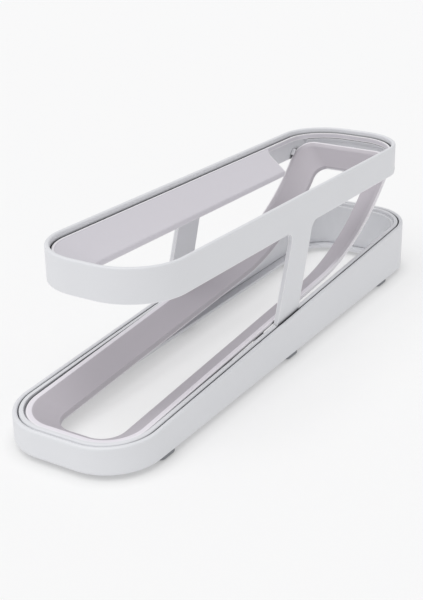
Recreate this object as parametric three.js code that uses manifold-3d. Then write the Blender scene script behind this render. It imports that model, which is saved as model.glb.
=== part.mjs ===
// Two-tier rolling egg dispenser, built as the real one comes apart on a bench: a base ring on six
// rubber feet, a tray ring inside it, an upper ring carried on two T-shaped legs, a funnel-walled
// trough in the upper ring, and one slide that starts as the lower rails and bends up into the
// rear of the upper ring. Eggs roll back along the trough, drop on the slide and roll to the front.
//
// Millimetres, +Z up. X runs across, Y from the front (-Y, where eggs are picked up) to the rear.
// The origin is at floor level under the middle of the base ring.

import * as THREE from 'three';
import { mergeVertices } from 'three/addons/utils/BufferGeometryUtils.js';
import Module from 'manifold-3d';

const wasm = await Module();
wasm.setup();

// Base ring
const baseLength = 352;
const baseWidth = 86.2;
const baseEndFlat = 12.5;
const baseWall = 2.7;
const baseFloorThickness = 2.4;
const baseFlangeReach = 13;
const frontRimHeight = 18.6;
const rearRimHeight = 36.4;
const baseEdgeRadius = 1.6;
const rimRadius = 1.2;
const floorFillet = 1.5;

// Feet
const footHeight = 3;
const footLength = 13.5;
const footWidth = 8.5;
const footCornerRadius = 3;
const footBevel = 0.5;
const footEdgeMargin = 1.2;
const footPocketDepth = 0.9;
const footPlaceShares = [-0.3858, -0.0082, 0.3554];

// Fits between the pieces
const fitClearance = 0.3;
const ringGap = 0.6;
const slideGap = 1;
const troughGap = 0.7;

// Tray ring
const trayWall = 2.6;
const trayJoggle = 1.8;
const trayShoulderDepth = 5;

// Upper ring and its legs
const upperFrontSetback = 29.9;
const upperRearSetback = 9.1;
const upperFrontHeight = 102.2;
const upperRearHeight = 92.2;
const upperEndFlat = 7;
const bandHeight = 19.3;
const bandWall = 2.6;
const bandLowerRadius = 0.6;
const bandRimRadius = 1.1;
const ledgeWidth = 2;
const ledgeThickness = 0.9;
const legFootFront = -19.1;
const legFootWidth = 25.8;
const legHeadFront = 0.1;
const legHeadWidth = 23.4;
const legFrontFillet = 5;
const legRearFillet = 7;
const tongueThickness = 1.5;
const tongueInset = 4;

// Trough in the upper ring
const troughRimDrop = 3.3;
const troughRimWidth = 1.6;
const troughSkirt = 3.2;
const troughSheet = 1.8;
const troughLip = 3.4;
const troughFrontReach = 27;
const troughSlotRadius = 11;
const dropHoleLength = 64;
const dropHoleRadius = 6;
const dropHoleShoulder = 14;

// Slide
const eggSlotWidth = 38.8;
const slideSheet = 2;
const slideLand = 3.3;
const slideDepth = 7.7;
const slideLip = 1.6;
const slideEndReach = 13.4;
const slideSlotRadius = 13;
const slideTopRadius = 14;
const slideTopSlotRadius = 8;
const slideFrontDrop = 1.5;
const slideSlope = THREE.MathUtils.degToRad(4);
const bendFromRear = 132;
const bendRadius = 147;
const bendTopAngle = THREE.MathUtils.degToRad(50);
const slideTopDrop = 7.2;
const clipFromTop = 8.3;
const clipLength = 4.6;
const clipReach = 2.6;
const clipThickness = 1.6;

// Snap catches: tray ring in base ring, legs in base ring, trough in upper ring, slide in tray ring
const catchLength = 9;
const catchGrip = 0.9;
const catchLead = 1.8;
const catchLand = 1;
const catchRise = 3.4;
const catchPlaceShares = [-0.27, 0.13, 0.3];
const barbInset = 8;
const barbRise = 3.1;
const beadReach = 0.5;
const beadHeight = 1.3;
const beadPlaceShares = [-0.24, 0.02, 0.2];
const hookThickness = 1.5;
const hookDrop = 2.5;
const hookGrip = 0.7;
const hookPlaceShares = [-0.29, -0.19, -0.09];

// How finely curves are faceted, and how far a cut or a join runs past what it meets
const cornerSteps = 12;
const sectionSteps = 2;
const bendSteps = 14;
const overrun = 2;

// Places that follow from the sizes above
const baseHalfWidth = baseWidth / 2;
const baseCornerRadius = baseHalfWidth - baseEndFlat;
const frontY = -baseLength / 2;
const rearY = baseLength / 2;
const baseFloorTop = footHeight + baseFloorThickness;
const trayInset = baseWall + ringGap;
const trayHalfWidth = baseHalfWidth - trayInset;
const upperCornerRadius = trayHalfWidth - upperEndFlat;
const slideInset = trayInset + trayWall + slideGap;
const slideHalfWidth = baseHalfWidth - slideInset;
const upperFrontY = frontY + upperFrontSetback;
const upperRearY = rearY - upperRearSetback;
const slotHalfWidth = eggSlotWidth / 2;
const slideFrontY = frontY + slideInset;
const lowerRise = (rearRimHeight - frontRimHeight) / baseLength;
const upperFall = (upperFrontHeight - upperRearHeight) / (upperRearY - upperFrontY);
const slideFrontZ = frontRimHeight + lowerRise * slideInset - slideFrontDrop;
const bendStart = (rearY - bendFromRear - slideFrontY) / Math.cos(slideSlope);
const bendEnd = bendStart + bendRadius * (bendTopAngle - slideSlope);
const baseInnerFace = baseHalfWidth - baseWall;
const bandInnerFace = trayHalfWidth - bandWall;
const catchTop = baseFloorTop + fitClearance + catchRise;

/** Height of the sloping rim shared by the base ring and the tray ring. */
function rimHeight(y) {
  return frontRimHeight + lowerRise * (y - frontY);
}

/** Height of the slide's straight part, which starts below the rim and is a little steeper. */
function straightSlideHeight(y) {
  return slideFrontZ + (y - slideFrontY) * Math.tan(slideSlope);
}

/** Height of the upper ring's rim, which falls gently to the rear. */
function upperRimHeight(y) {
  return upperFrontHeight - upperFall * (y - upperFrontY);
}

/**
 * Stations round a rounded rectangle, anticlockwise from above, each with its outward normal.
 * Front and rear corners can differ, and each long side has a station at every one of its stops.
 */
function roundedOutline({ halfWidth, front, rear, frontRadius, rearRadius = frontRadius, stops = [] }) {
  const corners = [
    { x: halfWidth - rearRadius, y: rear - rearRadius, radius: rearRadius, from: 0 },
    { x: rearRadius - halfWidth, y: rear - rearRadius, radius: rearRadius, from: 1 },
    { x: frontRadius - halfWidth, y: front + frontRadius, radius: frontRadius, from: 2 },
    { x: halfWidth - frontRadius, y: front + frontRadius, radius: frontRadius, from: 3 },
  ];
  const quarter = Math.PI / 2;
  const stations = [];
  corners.forEach((corner, index) => {
    for (let step = 0; step <= cornerSteps; step += 1) {
      const angle = quarter * (corner.from + step / cornerSteps);
      const nx = Math.cos(angle);
      const ny = Math.sin(angle);
      stations.push({ x: corner.x + corner.radius * nx, y: corner.y + corner.radius * ny, nx, ny });
    }
    if (index === 1) {
      stops.toReversed().forEach((y) => stations.push({ x: -halfWidth, y, nx: -1, ny: 0 }));
    }
    if (index === 3) {
      stops.forEach((y) => stations.push({ x: halfWidth, y, nx: 1, ny: 0 }));
    }
  });
  return stations;
}

/** A polygon given as [x, y, radius] corners, with an arc in place of each corner that has a radius. */
function roundCorners(corners, steps = sectionSteps) {
  const rounded = [];
  corners.forEach(([x, y, radius = 0], index) => {
    const corner = new THREE.Vector2(x, y);
    if (radius === 0) {
      rounded.push(corner);
      return;
    }
    const before = corners[(index + corners.length - 1) % corners.length];
    const after = corners[(index + 1) % corners.length];
    const back = new THREE.Vector2(before[0] - x, before[1] - y).normalize();
    const ahead = new THREE.Vector2(after[0] - x, after[1] - y).normalize();
    const half = Math.acos(THREE.MathUtils.clamp(back.dot(ahead), -1, 1)) / 2;
    const bisector = back.clone().add(ahead).normalize();
    const centre = corner.clone().addScaledVector(bisector, radius / Math.sin(half));
    const start = corner.clone().addScaledVector(back, radius / Math.tan(half)).sub(centre);
    const turn = Math.sign(ahead.cross(back)) * (Math.PI - 2 * half);
    for (let step = 0; step <= steps; step += 1) {
      const spoke = start.clone().rotateAround(new THREE.Vector2(), (turn * step) / steps);
      rounded.push(spoke.add(centre));
    }
  });
  return rounded;
}

/** A closed band: the same section swept once round a closed outline. */
function sweepSection(outline, section, place) {
  const positions = [];
  outline.forEach((station, index) => {
    section.forEach((point) => positions.push(...place(station, point.x, point.y, index)));
  });
  const count = section.length;
  const indices = [];
  outline.forEach((_, j) => {
    const nextLoop = ((j + 1) % outline.length) * count;
    section.forEach((__, i) => {
      const nextPoint = (i + 1) % count;
      indices.push(j * count + i, nextLoop + i, nextLoop + nextPoint);
      indices.push(j * count + i, nextLoop + nextPoint, j * count + nextPoint);
    });
  });
  const geometry = new THREE.BufferGeometry();
  geometry.setAttribute('position', new THREE.Float32BufferAttribute(positions, 3));
  geometry.setIndex(indices);
  return geometry;
}

/** A solid that can be joined and cut, from a closed geometry. */
function toSolid(geometry) {
  const bare = geometry.clone();
  bare.deleteAttribute('normal');
  bare.deleteAttribute('uv');
  const merged = mergeVertices(bare);
  return new wasm.Manifold(new wasm.Mesh({
    numProp: 3,
    vertProperties: new Float32Array(merged.attributes.position.array),
    triVerts: new Uint32Array(merged.index.array),
  }));
}

/** A geometry from a solid, with flat-shaded normals. */
function toGeometry(solid) {
  const { vertProperties, triVerts, numProp } = solid.getMesh();
  const positions = [];
  for (let index = 0; index < vertProperties.length; index += numProp) {
    positions.push(...vertProperties.slice(index, index + 3));
  }
  const geometry = new THREE.BufferGeometry();
  geometry.setAttribute('position', new THREE.Float32BufferAttribute(positions, 3));
  geometry.setIndex([...triVerts]);
  geometry.computeVertexNormals();
  return geometry;
}

/** A prism standing on the XY plane: a plan outline pulled up from bottom to top. */
function standingPrism(points, bottom, top) {
  const geometry = new THREE.ExtrudeGeometry(new THREE.Shape(points), {
    depth: top - bottom,
    bevelEnabled: false,
  });
  return toSolid(geometry.translate(0, 0, bottom));
}

/** A prism lying across: an outline of side-view points (Y, Z) pulled from inner to outer X. */
function sideways(points, inner, outer) {
  const geometry = new THREE.ExtrudeGeometry(new THREE.Shape(points), {
    depth: outer - inner,
    bevelEnabled: false,
  });
  const sideView = new THREE.Matrix4().makeBasis(
    new THREE.Vector3(0, 1, 0),
    new THREE.Vector3(0, 0, 1),
    new THREE.Vector3(1, 0, 0),
  );
  return toSolid(geometry.applyMatrix4(sideView).translate(inner, 0, 0));
}

/**
 * A block lying along the object: an outline of end-view points (X, Z) pulled to a length about a
 * middle. With a slope, the block leans so that it keeps its distance from a sloping rim.
 */
function lengthways(points, middle, length, slope = 0) {
  const outline = points.map(([x, z]) => new THREE.Vector2(x, z));
  const geometry = new THREE.ExtrudeGeometry(new THREE.Shape(outline), {
    depth: length,
    bevelEnabled: false,
  });
  const endView = new THREE.Matrix4().makeBasis(
    new THREE.Vector3(1, 0, 0),
    new THREE.Vector3(0, 0, 1),
    new THREE.Vector3(0, -1, -slope),
  );
  return toSolid(geometry.applyMatrix4(endView).translate(0, middle + length / 2, (slope * length) / 2));
}

/** A solid and its mirror image on the other side of the object. */
function onBothSides(solid) {
  return solid.add(solid.mirror([1, 0, 0]));
}

/** One solid made at each of a row of places along the object, given as shares of its length. */
function joinAlong(placeShares, makeAt) {
  return placeShares
    .map((share) => onBothSides(makeAt(share * baseLength)))
    .reduce((all, pair) => all.add(pair));
}

/** Plan outline of a ring of the lower tier, set in from the base ring's outer face. */
function lowerOutline(inset) {
  return roundedOutline({
    halfWidth: baseHalfWidth - inset,
    front: frontY + inset,
    rear: rearY - inset,
    frontRadius: baseCornerRadius - inset,
  });
}

/** Plan outline of a ring of the upper tier, set in from the upper ring's outer face. */
function upperOutline(inset, front = upperFrontY + inset, frontRadius = upperCornerRadius - inset) {
  return roundedOutline({
    halfWidth: trayHalfWidth - inset,
    front,
    rear: upperRearY - inset,
    frontRadius,
    rearRadius: upperCornerRadius - inset,
  });
}

/**
 * Places a section of a lower ring. The lower half of the section stands on a level floor and the
 * upper half hangs from the sloping rim, so the wall between them grows to the rear.
 */
function betweenFloorAndRim(floor, sectionHeight) {
  return (station, inset, height) => {
    const x = station.x - station.nx * inset;
    const y = station.y - station.ny * inset;
    const z = height < sectionHeight / 2 ? floor + height : rimHeight(y) + height - sectionHeight;
    return [x, y, z];
  };
}

/** Places a section that hangs from the upper ring's rim. */
function belowUpperRim(station, inset, height) {
  const x = station.x - station.nx * inset;
  const y = station.y - station.ny * inset;
  return [x, y, upperRimHeight(y) + height];
}

/** Plan outline of one foot, grown by a margin, as a rounded oblong about its own middle. */
function footOutline(x, y, margin = 0) {
  const halfLength = footLength / 2 + margin;
  const halfWidth = footWidth / 2 + margin;
  const radius = footCornerRadius + margin;
  return roundCorners([
    [x - halfWidth, y - halfLength, radius],
    [x + halfWidth, y - halfLength, radius],
    [x + halfWidth, y + halfLength, radius],
    [x - halfWidth, y + halfLength, radius],
  ]);
}

/** The six places of the feet: three along each long side. */
function footPlaces() {
  const fromMiddle = baseHalfWidth - footEdgeMargin - footWidth / 2;
  const rows = ['front', 'middle', 'rear'];
  return footPlaceShares.flatMap((share, row) => [
    { name: `foot_${rows[row]}_left`, x: -fromMiddle, y: share * baseLength },
    { name: `foot_${rows[row]}_right`, x: fromMiddle, y: share * baseLength },
  ]);
}

/** Ribs inside the base ring's walls that hold the tray ring's catches down. */
function makeBaseRibs() {
  const tip = trayHalfWidth - catchGrip;
  const underside = catchTop + fitClearance;
  const outline = [
    [baseInnerFace + baseWall / 2, underside],
    [tip, underside],
    [tip, underside + catchLand],
    [baseInnerFace, underside + catchLand + catchLead],
    [baseInnerFace + baseWall / 2, underside + catchLand + catchLead],
  ];
  return joinAlong(catchPlaceShares, (y) => lengthways(outline, y, catchLength));
}

/** Catches on the tray ring's lower walls, which click below the base ring's ribs. */
function makeTrayCatches() {
  const face = trayHalfWidth - trayJoggle;
  const root = face - trayWall / 2;
  const outline = [
    [root, catchTop - catchLand - catchLead],
    [face, catchTop - catchLand - catchLead],
    [trayHalfWidth, catchTop - catchLand],
    [trayHalfWidth, catchTop],
    [root, catchTop],
  ];
  return joinAlong(catchPlaceShares, (y) => lengthways(outline, y, catchLength));
}

/** Barbs on the legs' tongues or, with a margin, the pockets for them in the base ring's walls. */
function makeLegBarbs(margin) {
  const [front, rear] = legFootOutline(0, trayShoulderDepth, 0);
  const top = baseFloorTop + floorFillet + fitClearance + barbRise;
  const root = trayHalfWidth - tongueThickness / 2;
  const tip = baseInnerFace + catchGrip + margin;
  const outline = [
    [root, top - catchLand - catchLead - margin],
    [trayHalfWidth, top - catchLand - catchLead - margin],
    [tip, top - catchLand - margin],
    [tip, top + margin],
    [root, top + margin],
  ];
  const length = rear.x - front.x - 2 * barbInset + 2 * margin;
  return onBothSides(lengthways(outline, (front.x + rear.x) / 2, length));
}

/** Hooks below the slide's land or, with a margin, the pockets for them in the tray ring's walls. */
function makeSlideHooks(margin) {
  const trayFace = trayHalfWidth - trayWall - trayJoggle;
  const outer = trayFace - fitClearance;
  const inner = outer - hookThickness;
  const tip = trayFace + hookGrip + margin;
  const barbTop = -slideSheet - hookDrop;
  return joinAlong(hookPlaceShares, (y) => {
    const root = straightSlideHeight(y) - rimHeight(y) - slideSheet / 2;
    const outline = [
      [inner, root],
      [outer, root],
      [outer, barbTop + margin],
      [tip, barbTop + margin],
      [tip, barbTop - catchLand - margin],
      [outer, barbTop - catchLand - catchLead - margin],
      [inner, barbTop - catchLand - catchLead - margin],
    ].map(([x, rise]) => [x, rimHeight(y) + rise]);
    return lengthways(outline, y, catchLength + 2 * margin, lowerRise);
  });
}

/** Beads on the trough's skirt or, with a margin, the dimples for them in the upper ring's walls. */
function makeTroughBeads(margin) {
  const face = bandInnerFace - troughGap;
  const root = face - troughRimWidth / 2;
  const tip = bandInnerFace + beadReach + margin;
  const middle = -troughRimDrop - troughSkirt / 2;
  const half = beadHeight / 2;
  return joinAlong(beadPlaceShares, (y) => {
    const outline = [
      [root, middle - half - margin],
      [face, middle - half - margin],
      [tip, middle - half / 2 - margin],
      [tip, middle + half / 2 + margin],
      [face, middle + half + margin],
      [root, middle + half + margin],
    ].map(([x, rise]) => [x, upperRimHeight(y) + rise]);
    return lengthways(outline, y, catchLength + 2 * margin, -upperFall);
  });
}

/** Base ring: a wall with a rounded rim, a floor flange, foot pockets, ribs and barb pockets. */
function makeBaseRing() {
  const height = frontRimHeight - footHeight;
  const section = roundCorners([
    [0, 0, baseEdgeRadius],
    [0, height, rimRadius],
    [baseWall, height, rimRadius],
    [baseWall, baseFloorThickness, floorFillet],
    [baseFlangeReach, baseFloorThickness],
    [baseFlangeReach, 0],
  ]);
  const wall = toSolid(sweepSection(lowerOutline(0), section, betweenFloorAndRim(footHeight, height)));
  const ring = wall.subtract(makeLegBarbs(fitClearance)).add(makeBaseRibs());
  const pocketTop = footHeight + footPocketDepth;
  return footPlaces().reduce((body, place) => {
    const pocket = footOutline(place.x, place.y, fitClearance);
    return body.subtract(standingPrism(pocket, footHeight - overrun, pocketTop));
  }, ring);
}

/** One rubber foot: a pad with bevelled edges, most of it below the base ring. */
function makeFoot(place) {
  const height = footHeight + footPocketDepth - fitClearance;
  const geometry = new THREE.ExtrudeGeometry(new THREE.Shape(footOutline(0, 0, -footBevel)), {
    depth: height - 2 * footBevel,
    bevelSize: footBevel,
    bevelThickness: footBevel,
    bevelSegments: 2,
  });
  geometry.translate(place.x, place.y, footBevel);
  return toSolid(geometry);
}

/** Side-view outline of a leg between two levels below the rim, grown or drawn in by a margin. */
function legFootOutline(topRise, bottomDepth, margin) {
  const lean = (legHeadFront - legFootFront) / (upperRimHeight(legHeadFront) - bandHeight - rimHeight(legFootFront));
  const at = (y, rise) => new THREE.Vector2(y + rise * lean, rimHeight(y) + rise);
  const front = legFootFront - margin;
  const rear = legFootFront + legFootWidth + margin;
  return [at(front, -bottomDepth), at(rear, -bottomDepth), at(rear, topRise), at(front, topRise)];
}

/**
 * Tray ring: nests in the base ring with its rim level. A joggle turns its wall inward, which makes
 * a shelf that follows the slide inside and leaves room for the legs' tongues outside.
 */
function makeTrayRing() {
  const floor = baseFloorTop + fitClearance;
  const height = frontRimHeight - floor;
  const shelf = height - slideSheet - fitClearance;
  const shoulder = height - trayShoulderDepth;
  const section = roundCorners([
    [trayJoggle, 0],
    [trayJoggle, shoulder],
    [0, shoulder + trayJoggle / 2],
    [0, height, rimRadius],
    [trayWall, height, rimRadius / 2],
    [trayWall, shelf],
    [trayWall + trayJoggle, shelf],
    [trayWall + trayJoggle, 0],
  ]);
  const place = betweenFloorAndRim(floor, height);
  const ring = toSolid(sweepSection(lowerOutline(trayInset), section, (station, inset, rise) => {
    const [x, y, z] = place(station, inset, rise);
    const sink = rise === shelf ? Math.max(rimHeight(y) - straightSlideHeight(y), 0) : 0;
    return [x, y, z - sink];
  }));
  const notch = sideways(
    legFootOutline(overrun, trayShoulderDepth + fitClearance, fitClearance),
    trayHalfWidth - trayWall - fitClearance,
    trayHalfWidth + overrun,
  );
  return ring
    .subtract(onBothSides(notch))
    .subtract(makeSlideHooks(fitClearance))
    .add(makeTrayCatches());
}

/** Side-view point on the slide: distance along it, and height square to it. */
function slidePoint(distance, height) {
  const bent = THREE.MathUtils.clamp(distance, bendStart, bendEnd) - bendStart;
  const angle = slideSlope + bent / bendRadius;
  const before = Math.min(distance, bendStart);
  const after = Math.max(distance - bendEnd, 0);
  const y = slideFrontY
    + before * Math.cos(slideSlope)
    + bendRadius * (Math.sin(angle) - Math.sin(slideSlope))
    + after * Math.cos(bendTopAngle);
  const z = slideFrontZ
    + before * Math.sin(slideSlope)
    + bendRadius * (Math.cos(slideSlope) - Math.cos(angle))
    + after * Math.sin(bendTopAngle);
  return { y: y - height * Math.sin(angle), z: z + height * Math.cos(angle) };
}

/** Whole length of the slide, up to where its top end stops below the trough. */
function slideLength() {
  const end = slidePoint(bendEnd, 0);
  const climb = upperRimHeight(end.y) - slideTopDrop - end.z;
  return bendEnd + climb / (Math.sin(bendTopAngle) + upperFall * Math.cos(bendTopAngle));
}

/**
 * Slide: one loop round the egg slot. Its rails have a flat land at the outside and fall inward,
 * and the loop is laid out flat and then bent up along the slide's side-view path.
 */
function makeSlide() {
  const length = slideLength();
  const sideReach = slideHalfWidth - slotHalfWidth;
  const fall = Math.atan(slideDepth / (sideReach - slideLand));
  const under = slideSheet / Math.cos(fall);
  const lipInner = sideReach - slideSheet;
  const section = roundCorners([
    [0, -slideSheet, slideSheet / 4],
    [0, 0, slideSheet / 3],
    [slideLand, 0, slideLand],
    [sideReach, -slideDepth, slideSheet / 2],
    [sideReach, -slideDepth - under - slideLip, slideSheet / 4],
    [lipInner, -slideDepth - under - slideLip, slideSheet / 4],
    [lipInner, slideSheet * Math.tan(fall) - slideDepth - under],
    [slideLand - slideSheet * Math.tan(fall / 2), -slideSheet],
  ]);
  const cornerReach = Math.max(slideTopRadius, slideEndReach + slideTopSlotRadius);
  const lastStop = Math.min(bendEnd, length - cornerReach);
  const stops = Array.from({ length: bendSteps + 1 }, (_, step) => (
    THREE.MathUtils.lerp(bendStart, lastStop, step / bendSteps)
  ));
  const outer = roundedOutline({
    halfWidth: slideHalfWidth,
    front: 0,
    rear: length,
    frontRadius: baseCornerRadius - slideInset,
    rearRadius: slideTopRadius,
    stops,
  });
  const slot = roundedOutline({
    halfWidth: slotHalfWidth,
    front: slideEndReach,
    rear: length - slideEndReach,
    frontRadius: slideSlotRadius,
    rearRadius: slideTopSlotRadius,
    stops,
  });
  const loop = toSolid(sweepSection(outer, section, (station, inset, height, index) => {
    const share = Math.max(inset - slideLand, 0) / (sideReach - slideLand);
    const onLand = Math.min(inset, slideLand);
    const x = station.x - station.nx * onLand;
    const distance = station.y - station.ny * onLand;
    const along = THREE.MathUtils.lerp(distance, slot[index].y, share);
    const bent = slidePoint(along, height);
    return [THREE.MathUtils.lerp(x, slot[index].x, share), bent.y, bent.z];
  }));
  return loop.add(makeSlideHooks(0));
}

/** Upper ring's wall: rounded rim, and an inner ledge that carries the trough. */
function makeBand() {
  const ledge = -troughRimDrop - troughSkirt - fitClearance;
  const section = roundCorners([
    [0, -bandHeight, bandLowerRadius],
    [0, 0, bandRimRadius],
    [bandWall, 0, bandRimRadius],
    [bandWall, ledge],
    [bandWall + ledgeWidth, ledge],
    [bandWall + ledgeWidth, ledge - ledgeThickness],
    [bandWall, ledge - ledgeThickness - ledgeWidth],
    [bandWall, -bandHeight, bandLowerRadius],
  ]);
  return toSolid(sweepSection(upperOutline(0), section, belowUpperRim));
}

/** One leg: filleted into the band above, with a tongue below that plugs behind the base ring. */
function makeLeg() {
  const underside = (y) => upperRimHeight(y) - bandHeight;
  const [footFront, footRear] = legFootOutline(0, trayShoulderDepth, 0);
  const headRear = legHeadFront + legHeadWidth;
  const wingFront = legHeadFront - 3 * legFrontFillet;
  const wingRear = headRear + 3 * legRearFillet;
  const blade = roundCorners([
    [footFront.x, footFront.y],
    [footRear.x, footRear.y],
    [headRear, underside(headRear), legRearFillet],
    [wingRear, underside(wingRear)],
    [wingRear, underside(wingRear) + bandHeight / 2],
    [wingFront, underside(wingFront) + bandHeight / 2],
    [wingFront, underside(wingFront)],
    [legHeadFront, underside(legHeadFront), legFrontFillet],
  ], 2 * sectionSteps);
  const tongueTip = baseFloorTop + floorFillet + fitClearance;
  const tongue = [
    new THREE.Vector2(footFront.x + tongueInset, tongueTip),
    new THREE.Vector2(footRear.x - tongueInset, tongueTip),
    new THREE.Vector2(footRear.x - tongueInset, footRear.y + overrun),
    new THREE.Vector2(footFront.x + tongueInset, footFront.y + overrun),
  ];
  return sideways(blade, bandInnerFace, trayHalfWidth)
    .add(sideways(tongue, trayHalfWidth - tongueThickness, trayHalfWidth));
}

/** Side-view outline of a clip jaw lying along the slide, between two heights square to it. */
function jawOutline(low, high) {
  const end = slideLength() - clipFromTop;
  return [
    [end - clipLength, low],
    [end, low],
    [end, high],
    [end - clipLength, high],
  ].map(([distance, height]) => {
    const point = slidePoint(distance, height);
    return new THREE.Vector2(point.y, point.z);
  });
}

/** The pair of jaws inside the upper ring that hold one edge of the slide's top end. */
function makeClip() {
  const reach = bandInnerFace - clipReach;
  const under = -slideSheet - fitClearance;
  const lower = jawOutline(under - clipThickness, under);
  const upper = jawOutline(fitClearance, fitClearance + clipThickness);
  const join = bandInnerFace + bandWall / 2;
  return sideways(lower, reach, join).add(sideways(upper, reach, join));
}

/** The stretch beside the drop hole where the ledge is left off to let the slide's top end in. */
function makeLedgeBreak() {
  const inside = upperOutline(bandWall).map(({ x, y }) => new THREE.Vector2(x, y));
  const front = dropHoleFront();
  const rear = upperRearY - bandWall - dropHoleShoulder;
  const stretch = [
    new THREE.Vector2(-trayHalfWidth, front),
    new THREE.Vector2(trayHalfWidth, front),
    new THREE.Vector2(trayHalfWidth, rear),
    new THREE.Vector2(-trayHalfWidth, rear),
  ];
  const bottom = upperRearHeight - bandHeight - overrun;
  const top = upperFrontHeight + overrun;
  return standingPrism(inside, bottom, top).intersect(standingPrism(stretch, bottom, top));
}

/** Upper frame: the upper ring with its two barbed legs and the clips for the slide's top end. */
function makeUpperFrame() {
  return makeBand()
    .subtract(makeLedgeBreak())
    .subtract(makeTroughBeads(fitClearance))
    .add(onBothSides(makeLeg()))
    .add(makeLegBarbs(0))
    .add(onBothSides(makeClip()));
}

/** Where the trough's drop hole begins. */
function dropHoleFront() {
  return upperRearY - bandWall - troughGap - troughRimWidth - dropHoleLength;
}

/** Trough: a thin rim, funnel walls down to a lipped slot, and a drop hole at the rear. */
function makeTrough() {
  const inset = bandWall + troughGap;
  const reach = trayHalfWidth - inset - slotHalfWidth;
  const lipTop = troughLip - bandHeight;
  const fall = Math.atan((-troughRimDrop - lipTop) / (reach - troughRimWidth));
  const under = troughSheet / Math.cos(fall);
  const skirtBottom = -troughRimDrop - troughSkirt;
  const skirtReach = troughRimWidth + (troughSkirt - under) / Math.tan(fall);
  const lipInner = reach - troughSheet;
  const section = roundCorners([
    [0, skirtBottom],
    [0, -troughRimDrop, troughRimWidth / 4],
    [troughRimWidth, -troughRimDrop, troughRimWidth / 4],
    [reach, lipTop, troughSheet],
    [reach, -bandHeight, troughSheet / 4],
    [lipInner, -bandHeight, troughSheet / 4],
    [lipInner, lipTop + troughSheet * Math.tan(fall) - under],
    [skirtReach, skirtBottom],
  ]);
  const slot = roundedOutline({
    halfWidth: slotHalfWidth,
    front: upperFrontY + inset + troughFrontReach,
    rear: upperRearY - inset - reach,
    frontRadius: troughSlotRadius,
  });
  const body = toSolid(sweepSection(upperOutline(inset), section, (station, depth, height, index) => {
    const share = Math.max(depth - troughRimWidth, 0) / (reach - troughRimWidth);
    const onRim = Math.min(depth, troughRimWidth);
    const x = THREE.MathUtils.lerp(station.x - station.nx * onRim, slot[index].x, share);
    const y = THREE.MathUtils.lerp(station.y - station.ny * onRim, slot[index].y, share);
    return [x, y, upperRimHeight(y) + height];
  }));
  const hole = upperOutline(inset + troughRimWidth, dropHoleFront(), dropHoleRadius)
    .map(({ x, y }) => new THREE.Vector2(x, y));
  const top = upperFrontHeight + overrun;
  return body
    .subtract(standingPrism(hole, upperRearHeight - bandHeight - overrun, top))
    .add(makeTroughBeads(0));
}

const whitePlastic = { color: 0xdfe0e3, roughness: 0.5, metalness: 0 };
const innerPlastic = { color: 0xd9d9dd, roughness: 0.5, metalness: 0 };
const footRubber = { color: 0x8b8d91, roughness: 0.85, metalness: 0 };

/** A named mesh with its own material. */
function makeMesh(name, solid, finish) {
  const mesh = new THREE.Mesh(toGeometry(solid), new THREE.MeshStandardMaterial(finish));
  mesh.name = name;
  return mesh;
}

const lowerTier = new THREE.Group();
lowerTier.add(
  makeMesh('base_ring', makeBaseRing(), whitePlastic),
  makeMesh('tray_ring', makeTrayRing(), whitePlastic),
  makeMesh('slide', makeSlide(), innerPlastic),
);
footPlaces().forEach((place) => lowerTier.add(makeMesh(place.name, makeFoot(place), footRubber)));

const upperTier = new THREE.Group();
upperTier.add(
  makeMesh('upper_frame', makeUpperFrame(), whitePlastic),
  makeMesh('upper_trough', makeTrough(), innerPlastic),
);

const eggHolder = new THREE.Group();
eggHolder.add(lowerTier, upperTier);

export default eggHolder;
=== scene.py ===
"""Looks of a two-tier rolling holder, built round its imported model.

The holder has six kinds of piece: a base ring on rubber feet, a tray ring nested in it, an upper
ring carried on two T-shaped legs, a funnel-walled trough in the upper ring, and one slide that
starts as the lower rails and bends up into the rear of the upper ring.
Sizes are in millimetres, and a mesh gets them in metres.
"""

import logging
import math
from collections.abc import Callable, Iterable, Sequence
from dataclasses import dataclass
from enum import Enum

import bmesh
import bpy
import numpy as np
from mathutils import Matrix, Vector


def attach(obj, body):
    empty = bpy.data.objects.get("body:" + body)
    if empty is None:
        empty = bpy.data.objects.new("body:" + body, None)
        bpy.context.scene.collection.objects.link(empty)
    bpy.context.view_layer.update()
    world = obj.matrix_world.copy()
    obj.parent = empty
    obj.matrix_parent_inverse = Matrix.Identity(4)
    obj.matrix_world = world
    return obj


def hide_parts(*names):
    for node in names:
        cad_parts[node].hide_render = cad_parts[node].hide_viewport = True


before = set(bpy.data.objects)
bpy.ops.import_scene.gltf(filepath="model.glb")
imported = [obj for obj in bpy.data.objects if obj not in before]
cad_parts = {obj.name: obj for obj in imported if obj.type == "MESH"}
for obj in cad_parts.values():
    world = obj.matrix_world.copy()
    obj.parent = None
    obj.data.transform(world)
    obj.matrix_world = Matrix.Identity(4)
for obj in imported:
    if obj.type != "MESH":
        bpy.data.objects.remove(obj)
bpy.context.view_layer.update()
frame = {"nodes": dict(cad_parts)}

LOG = logging.getLogger("egg_holder")
MM = 0.001
# Points closer than this are one, and faces that turn by more than this (radians) form an edge.
WELD = 0.004 * MM
SHARP = 1.0
Section = list[tuple[float, float]]
Ends = list[tuple[np.ndarray, np.ndarray]]
Place = Callable[[np.ndarray, float, float, int], tuple[float, float, float]]


class Slot(Enum):
    """Material slots of the record."""

    SHELL = "shell"
    TRACK = "track"
    FOOT = "foot"


class Row(Enum):
    """The three rows of feet, from the pick-up end."""

    FRONT = "front"
    MIDDLE = "middle"
    REAR = "rear"


class Join(Enum):
    """How a second solid is taken into the first."""

    ADD = "UNION"
    CUT = "DIFFERENCE"


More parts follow.
